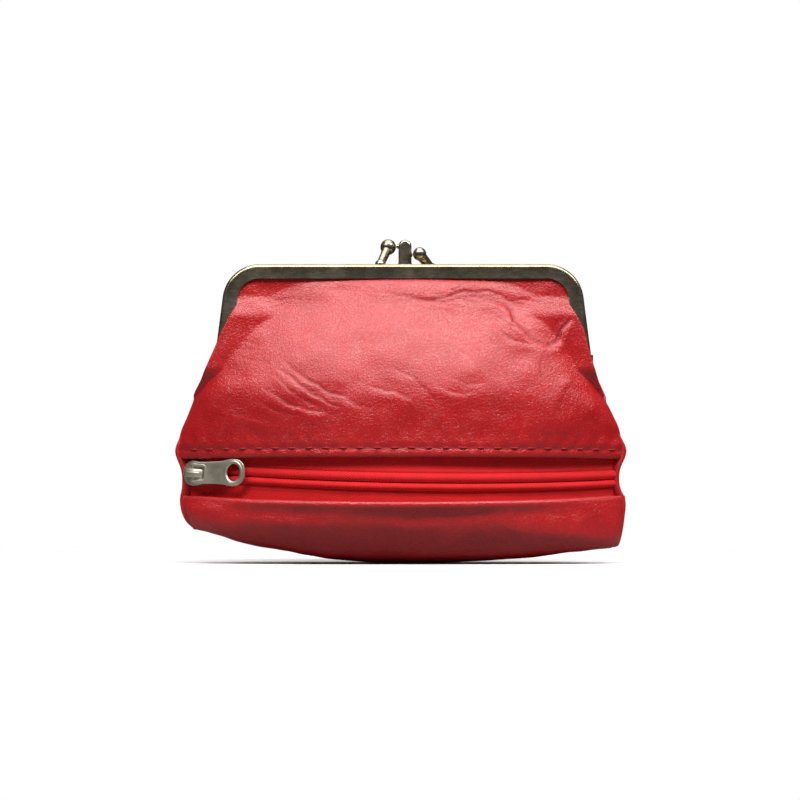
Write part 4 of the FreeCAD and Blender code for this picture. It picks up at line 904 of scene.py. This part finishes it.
def make_pocket_floor():
    """Cloth floor between the compartments and the zipped pocket."""
    low, high = lowest("pocket_floor"), highest("pocket_floor")
    deep, across = spread(np.linspace(-1, 1, 30), column_places(100) * 0.985)
    half = (MIDDLE_DEPTH(POCKET_FLOOR_Z) - LEATHER - 1.4) * (1 - across ** 2) + 0.2
    x = across * (FRONT_WIDTH(POCKET_FLOOR_Z) - LEATHER - 1.6)
    sag = 0.25 * wavy(np.stack([x, deep * half, 0 * x], -1), 9.0, 2.2)
    grid = np.stack([x, deep * half, high[2] - 0.3 + sag], -1)
    thick = (high[2] - low[2]) * 0.6
    piece = closed_sheet("pocket_floor_cloth", grid, thick, LINING_CLOTH, "lining_cloth")
    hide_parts("pocket_floor")
    return piece


def make_zip_pocket_lining():
    """Lining of the zipped pocket: under the base and up the back."""
    base = back_skin_base(150, 110)[:, ::-1]
    middle = base.shape[1] // 2
    low_rows = [i for i in range(5, len(base)) if base[i, middle, 2] < POCKET_TOP]
    grid = inset(base[low_rows][:, 5:-5], LEATHER + POCKET_GAP)
    piece = closed_sheet("zip_pocket_cloth", grid, LINING, LINING_CLOTH, "lining_cloth")
    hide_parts("zip_pocket_lining")
    return piece


# ---------------- zip

ZIP_JOINT = joint("zip_travel")
ZIP_CENTRE = np.array(ZIP_JOINT["pos_m"]) / MM
ZIP_AXIS = unit(np.array(ZIP_JOINT["axis"], float))
ZIP_TILT = math.asin(-ZIP_AXIS[1])  # the zip's plane dips towards the front
ZIP_ROLL = math.atan2(ZIP_AXIS[0], ZIP_AXIS[2])  # and its left end stands a little higher


def turned(axis, angle):
    return np.array(Matrix.Rotation(angle, 3, axis))


ZIP_TURN = turned("Y", ZIP_ROLL) @ turned("X", ZIP_TILT)


def zip_place(angle, depth, height):
    """A point beside the zip, from its angle, depth under the leather and height over the chain."""
    values = (np.asarray(value, float) for value in (angle, depth, height))
    angle, depth, height = np.broadcast_arrays(*values)
    radius = ARC_RADIUS - depth - height * math.tan(ZIP_TILT)
    place = np.stack([radius * np.sin(angle), -radius * np.cos(angle), height], -1)
    return place @ ZIP_TURN.T + ZIP_CENTRE


TAPE_DEPTH, TAPE_THICK = 1.9, 0.4
RIB_PITCH, RIB_HEIGHT = 0.95, 0.035  # the coil's turns, felt through the tape
BAND_TOP_DEPTH = 0.8
ZIP_HALF_ANGLE = math.radians(33.4)


def zip_grid(sign, rows, columns):
    """Share of the way out from the chain and angle along it, in a grid whose rows run upwards."""
    return spread(np.linspace(0, 1, rows)[::sign], np.linspace(-1, 1, columns) * ZIP_HALF_ANGLE)


def make_tape(name, sign, reach):
    """Half of the zip's tape, from the chain to under the leather."""
    share, angle = zip_grid(sign, 26, 200)
    grid = zip_place(angle, TAPE_DEPTH, sign * (0.3 + share * (reach - 0.3)))
    wave = 0.12 * wavy(grid, 7.0, 11.0 + sign) * smooth_step(share, 0.25, 0.6)
    ridge = 0.12 * np.exp(-((share * reach - 2.6) / 0.35) ** 2)
    grid = grid + grid_normals(grid) * (wave + ridge)[..., None]
    piece = closed_sheet(name + "_zip_tape_cloth", grid, TAPE_THICK, TAPE_CLOTH, "zip_tape")
    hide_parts(name + "_zip_tape")
    return piece


def make_band(name, sign, width):
    """Half of the closed chain: the tape's folded edge, drawn round over the coil behind it."""
    share, angle = zip_grid(sign, 15, 920)
    arch = np.sin(math.pi * (0.04 + 0.92 * share)) ** 0.5
    along = angle * ARC_RADIUS
    ribs = RIB_HEIGHT * np.cos(2 * math.pi * (along / RIB_PITCH + 0.4 * sign * share)) * arch
    uneven = 0.05 * wavy(np.stack([along, 0 * along, 3 * share], -1), 4.0, 17.0 + sign)
    depth = TAPE_DEPTH - (TAPE_DEPTH - BAND_TOP_DEPTH) * arch - ribs - uneven * arch
    grid = zip_place(angle, depth, sign * (0.1 + width * share))
    piece = closed_sheet(name + "_zip_band", grid, TAPE_THICK, TAPE_CLOTH, "zip_coil")
    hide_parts(name + "_zip_coil")
    return piece


# ---------------- slider and pull tab

SLIDER_ANGLE = math.radians(-31.5)  # from the middle of the front
SLIDER_PROUD = 0.25  # slider's face over the leather's
PLATE = 0.8
FLANGE = 1.9  # depth of the slider's side walls under its face
BACK_PLATE = (2.85, 3.65)  # depths of the plate behind the tapes

# the slider's own axes: X along the zip, Y up, Z outwards
UPRIGHT = np.array([[1, 0, 0], [0, 0, -1], [0, 1, 0]], float)
SLIDER_AXES = ZIP_TURN @ turned("Z", SLIDER_ANGLE) @ turned("X", -ZIP_TILT)
SLIDER_TURN = SLIDER_AXES @ UPRIGHT
SLIDER_ORIGIN = zip_place(SLIDER_ANGLE, -SLIDER_PROUD, 0.0)
TAB_JOINT = joint("pull_tab_hinge")
TAB_AXES = SLIDER_AXES @ turned("Y", math.radians(-5.0)) @ turned("Z", math.radians(7.5))
TAB_TURN = TAB_AXES @ UPRIGHT
TAB_ORIGIN = np.array(TAB_JOINT["pos_m"]) / MM

# upper halves of outlines, from the left to the right
HEAD_OUTLINE = [(-4.0, 0), (-3.75, 1.3), (-3.0, 2.5), (-1.7, 3.15), (-0.2, 3.2), (1.3, 2.95),
                (2.7, 2.5), (3.7, 2.2), (4.0, 1.6), (4.0, 0)]
WALL_OUTLINE = [(-3.1, 2.35), (-1.6, 3.1), (0, 3.15), (1.4, 2.9), (3.6, 2.2), (3.5, 1.75),
                (1.3, 2.3), (-0.1, 2.5), (-1.5, 2.45), (-2.7, 1.95)]
NECK_OUTLINE = [(-1.6, -0.14), (2.2, -0.14), (2.2, 0.14), (-1.6, 0.14)]
TAB_OUTLINE = [(-0.72, 1.8), (-0.45, 2.4), (0.6, 2.7), (3.5, 2.8), (6.5, 2.85), (8.8, 3.0),
               (10.4, 3.3), (11.9, 3.45), (13.4, 3.2), (14.5, 2.4), (15.1, 1.2), (15.25, 0)]
TAB_EYE = [(0.42, 0), (0.5, 1.25), (0.9, 1.5), (2.9, 1.5), (3.35, 1.2), (3.4, 0)]
EYE_RIM = [(0.1, 1.95), (1.6, 2.02), (3.4, 1.9), (3.95, 1.0)]
RING_CENTRE, RING_HOLE = 11.95, (1.95, 2.3)
RIM_REACH = 0.42  # from the hole's edge to the middle of its rim
CROWN_ARCH = [(-2.75, -0.3), (-2.65, 0.7), (-2.1, 1.55), (-1.2, 2.0), (0, 2.08), (1.2, 1.95),
              (2.1, 1.45), (2.65, 0.65), (2.75, -0.3)]


def ellipse(centre, half, count=40):
    t = np.linspace(0, 2 * math.pi, count, endpoint=False)
    return [(centre + half[0] * math.cos(a), half[1] * math.sin(a)) for a in t]


def make_slider():
    """Face plate with a rounded head, side walls, neck and back plate."""
    head = smooth_loop(mirrored(HEAD_OUTLINE), 4)
    meshes = [plate(head, [], -PLATE, 0.0, 0.3),
              plate(head * 0.96, [], -BACK_PLATE[1], -BACK_PLATE[0], 0.25),
              plate(NECK_OUTLINE, [], -BACK_PLATE[0] - 0.1, -PLATE + 0.1, 0.03)]
    for side in (LEFT, RIGHT):
        wall = smooth_loop(WALL_OUTLINE, 4) * (1, side)
        meshes.append(plate(wall, [], -FLANGE, -PLATE + 0.3, 0.12))
    piece = metal_piece("slider_plates", meshes, SLIDER_TURN, SLIDER_ORIGIN)
    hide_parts("slider_body")
    return piece


def make_crown():
    """The bridge over the tab's bar: a rounded strip bent into an arch, with a raised rib."""
    line = smooth_curve([(i, p[0]) for i, p in enumerate(CROWN_ARCH)])
    rise = smooth_curve([(i, p[1]) for i, p in enumerate(CROWN_ARCH)])
    at = np.linspace(0, len(CROWN_ARCH) - 1, 40)
    path = np.stack([line(at), 0 * at, rise(at)], 1)
    strip = rods([path], 0.36, sides=16, across=(0, 1, 0), flatten=3.1)
    rib = rods([path[10:31] + (0, 0, 0.12)], 0.34, sides=12, across=(0, 1, 0), flatten=1.5)
    piece = metal_piece("slider_crown_bridge", [strip, rib], SLIDER_TURN, SLIDER_ORIGIN)
    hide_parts("slider_crown")
    return piece


def make_pull_tab():
    """Strap with a round eye for the crown, and a rounded ring at its loose end."""
    outline = smooth_loop(mirrored(TAB_OUTLINE), 5)
    eye = smooth_loop(mirrored(TAB_EYE), 4)
    hole = ellipse(RING_CENTRE, RING_HOLE)
    strap = plate(outline, [eye, hole], -0.34, 0.34, 0.16)
    ring = ellipse(RING_CENTRE, [half + RIM_REACH for half in RING_HOLE])
    rim = rods([[(x, y, 0) for x, y in ring]], 0.55, sides=14, closed=True, flatten=0.85)
    eye_ring = smooth_loop(mirrored(EYE_RIM))
    eye_rim = rods([[(x, y, 0) for x, y in eye_ring]], 0.4, sides=12, closed=True)
    bar = rods([[(0, y, 0) for y in np.linspace(-2.0, 2.0, 9)]], 0.46, sides=16)
    piece = metal_piece("pull_tab_strap", [strap, rim, eye_rim, bar], TAB_TURN, TAB_ORIGIN)
    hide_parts("pull_tab")
    return piece


# ---------------- seams

def surface_y(grid, x, z):
    """Depth of a front grid at a place, from its nearest points."""
    near = (grid[..., 0] - x) ** 2 + (grid[..., 2] - z) ** 2
    near = np.where(grid[..., 1] < 0, near, 1e9)
    order = np.argsort(near.ravel())[:4]
    weight = 1 / (near.ravel()[order] + 1e-3)
    return float((grid[..., 1].ravel()[order] * weight).sum() / weight.sum())


STITCH_REACH = 54.5  # the row ends this far from the middle
STITCH_HALF, THREAD_RADIUS = 1.15, 0.22
STITCH_RISE = (-0.45, -0.02, 0.13, 0.16, 0.13, -0.02, -0.45)  # over the leather, along a stitch


def make_seam_thread(grid):
    """A row of lockstitches, each a short bowed thread that dips into the leather."""
    count = int(2 * STITCH_REACH / STITCH_PITCH)
    runs = []
    for i in range(count + 1):
        middle = (i - count / 2) * STITCH_PITCH
        places = middle + np.linspace(-1, 1, len(STITCH_RISE)) * STITCH_HALF
        runs.append([(x, surface_y(grid, x, STITCH_Z) - rise, STITCH_Z)
                     for x, rise in zip(places, STITCH_RISE)])
    piece = tubes("upper_seam_thread", runs, THREAD_RADIUS, SEAM_THREAD, "red_thread")
    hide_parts("upper_seam_stitching")
    return piece


# ---------------- build

front_grid, front_creases = front_skin_grid()
front_leather = make_front_leather(front_grid, front_creases)
back_leather = make_back_leather()
linings = {side: make_compartment_lining(side) for side in (FRONT, BACK)}

for side, soft_pieces in ((FRONT, [front_leather, linings[FRONT]]),
                          (BACK, [back_leather, linings[BACK]])):
    for piece in soft_pieces:
        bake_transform(piece)

fixed = [make_divider_cloth(), make_pocket_floor(), make_zip_pocket_lining()]
for name, sign, reach, band in (("upper", 1, 7.4, 2.25), ("lower", -1, 6.6, 1.85)):
    fixed.append(make_tape(name, sign, reach))
    fixed.append(make_band(name, sign, band))
fixed.append(make_seam_thread(front_grid))
for piece in fixed:
    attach(piece, "pouch")
for piece in (make_slider(), make_crown()):
    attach(piece, "zip_slider")
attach(make_pull_tab(), "pull_tab")


def paint(material, *names):
    """Gives CAD nodes their finish."""
    for name in names:
        mesh = frame["nodes"][name].data
        mesh.materials.clear()
        mesh.materials.append(material)


paint(GUNMETAL, "front_channel", "back_channel", "centre_frame")
paint(CLASP_METAL, "front_clasp_knob", "back_clasp_knob", "centre_clasp_post", "left_hinge_rivet",
      "right_hinge_rivet")
paint(ZIP_METAL, "slider_lock_spring")
paint(PAPER, "front_channel_cord", "back_channel_cord")


# ---------------- stage, light and camera

FLOOR_REACH = 1.2
FLOOR_FADE = (0.07, 0.2)  # metres from the middle over which it clears


def make_floor():
    """A pale floor that fades into the white backdrop."""
    mesh = bpy.data.meshes.new("floor")
    square = ((-1, -1), (1, -1), (1, 1), (-1, 1))
    corners = [(x * FLOOR_REACH, y * FLOOR_REACH, 0) for x, y in square]
    mesh.from_pydata(corners, [], [(0, 1, 2, 3)])
    floor = bpy.data.objects.new("floor", mesh)
    bpy.context.scene.collection.objects.link(floor)
    n = Nodes("floor_paper")
    seen = n.add("ShaderNodeLightPath").outputs["Is Camera Ray"]
    n.put(n.shader, "Base Color", n.mix(seen, rgb(0.22, 0.22, 0.22), rgb(0.95, 0.95, 0.95)))
    n.put(n.shader, "Roughness", 0.9)
    place = n.add("ShaderNodeTexCoord").outputs["Object"]
    distance = n.add("ShaderNodeVectorMath", {0: place}, operation="LENGTH").outputs["Value"]
    clear = n.add("ShaderNodeBsdfTransparent").outputs[0]
    faded = n.ramp(distance, *FLOOR_FADE)
    blend = n.add("ShaderNodeMixShader", {0: faded, 1: n.shader.outputs[0], 2: clear})
    n.put(n.tree.nodes["Material Output"], "Surface", blend.outputs[0])
    mesh.materials.append(n.material)


WORLD_LOW, WORLD_HIGH = 0.02, 0.15  # the backdrop's light from below and from above
# name, place, width and depth, watts
LIGHTS = (("key", (0.04, -0.315, 0.495), (1.1, 0.13), 6.0),
          ("top", (0, 0.02, 0.6), (0.5, 0.4), 2.3))
LIGHT_TARGET = Vector((0, 0, 0.05))


def aim(item, place, target):
    """Puts a lamp or camera in its place, looking at the target."""
    item.location = place
    item.rotation_euler = (Vector(target) - Vector(place)).to_track_quat("-Z", "Y").to_euler()
    bpy.context.scene.collection.objects.link(item)


def area_light(name, place, size, watts):
    light = bpy.data.lights.new(name, "AREA")
    light.shape = "RECTANGLE"
    light.size, light.size_y = size
    light.energy = watts
    aim(bpy.data.objects.new(name, light), place, LIGHT_TARGET)


def make_light():
    """A white backdrop that gives little light, a large key above the front, and a top light."""
    world = bpy.data.worlds.new("studio")
    world.use_nodes = True
    tree = world.node_tree
    background = tree.nodes["Background"]
    background.inputs["Color"].default_value = (1, 1, 1, 1)
    up = tree.nodes.new("ShaderNodeSeparateXYZ")
    tree.links.new(tree.nodes.new("ShaderNodeTexCoord").outputs["Generated"], up.inputs[0])
    glow = tree.nodes.new("ShaderNodeMapRange")
    limits = {"From Min": -0.3, "From Max": 0.9, "To Min": WORLD_LOW, "To Max": WORLD_HIGH}
    for key, value in limits.items():
        glow.inputs[key].default_value = value
    tree.links.new(up.outputs["Z"], glow.inputs["Value"])
    level = tree.nodes.new("ShaderNodeMix")
    tree.links.new(tree.nodes.new("ShaderNodeLightPath").outputs["Is Camera Ray"], level.inputs[0])
    tree.links.new(glow.outputs["Result"], level.inputs[2])
    level.inputs[3].default_value = 1.0
    tree.links.new(level.outputs[0], background.inputs["Strength"])
    bpy.context.scene.world = world
    for light in LIGHTS:
        area_light(*light)


CAMERA_PLACE, CAMERA_TARGET = (-0.0008, -0.458, 0.012), (-0.0008, -0.008, 0.0417)
LENS = 79.6


def make_camera():
    camera = bpy.data.objects.new("camera", bpy.data.cameras.new("camera"))
    camera.data.sensor_width = 36.0
    camera.data.lens = LENS
    camera.data.clip_start, camera.data.clip_end = 0.01, 20
    aim(camera, CAMERA_PLACE, CAMERA_TARGET)
    bpy.context.scene.camera = camera


make_floor()
make_light()
make_camera()
bpy.context.scene.view_settings.view_transform = "Standard"
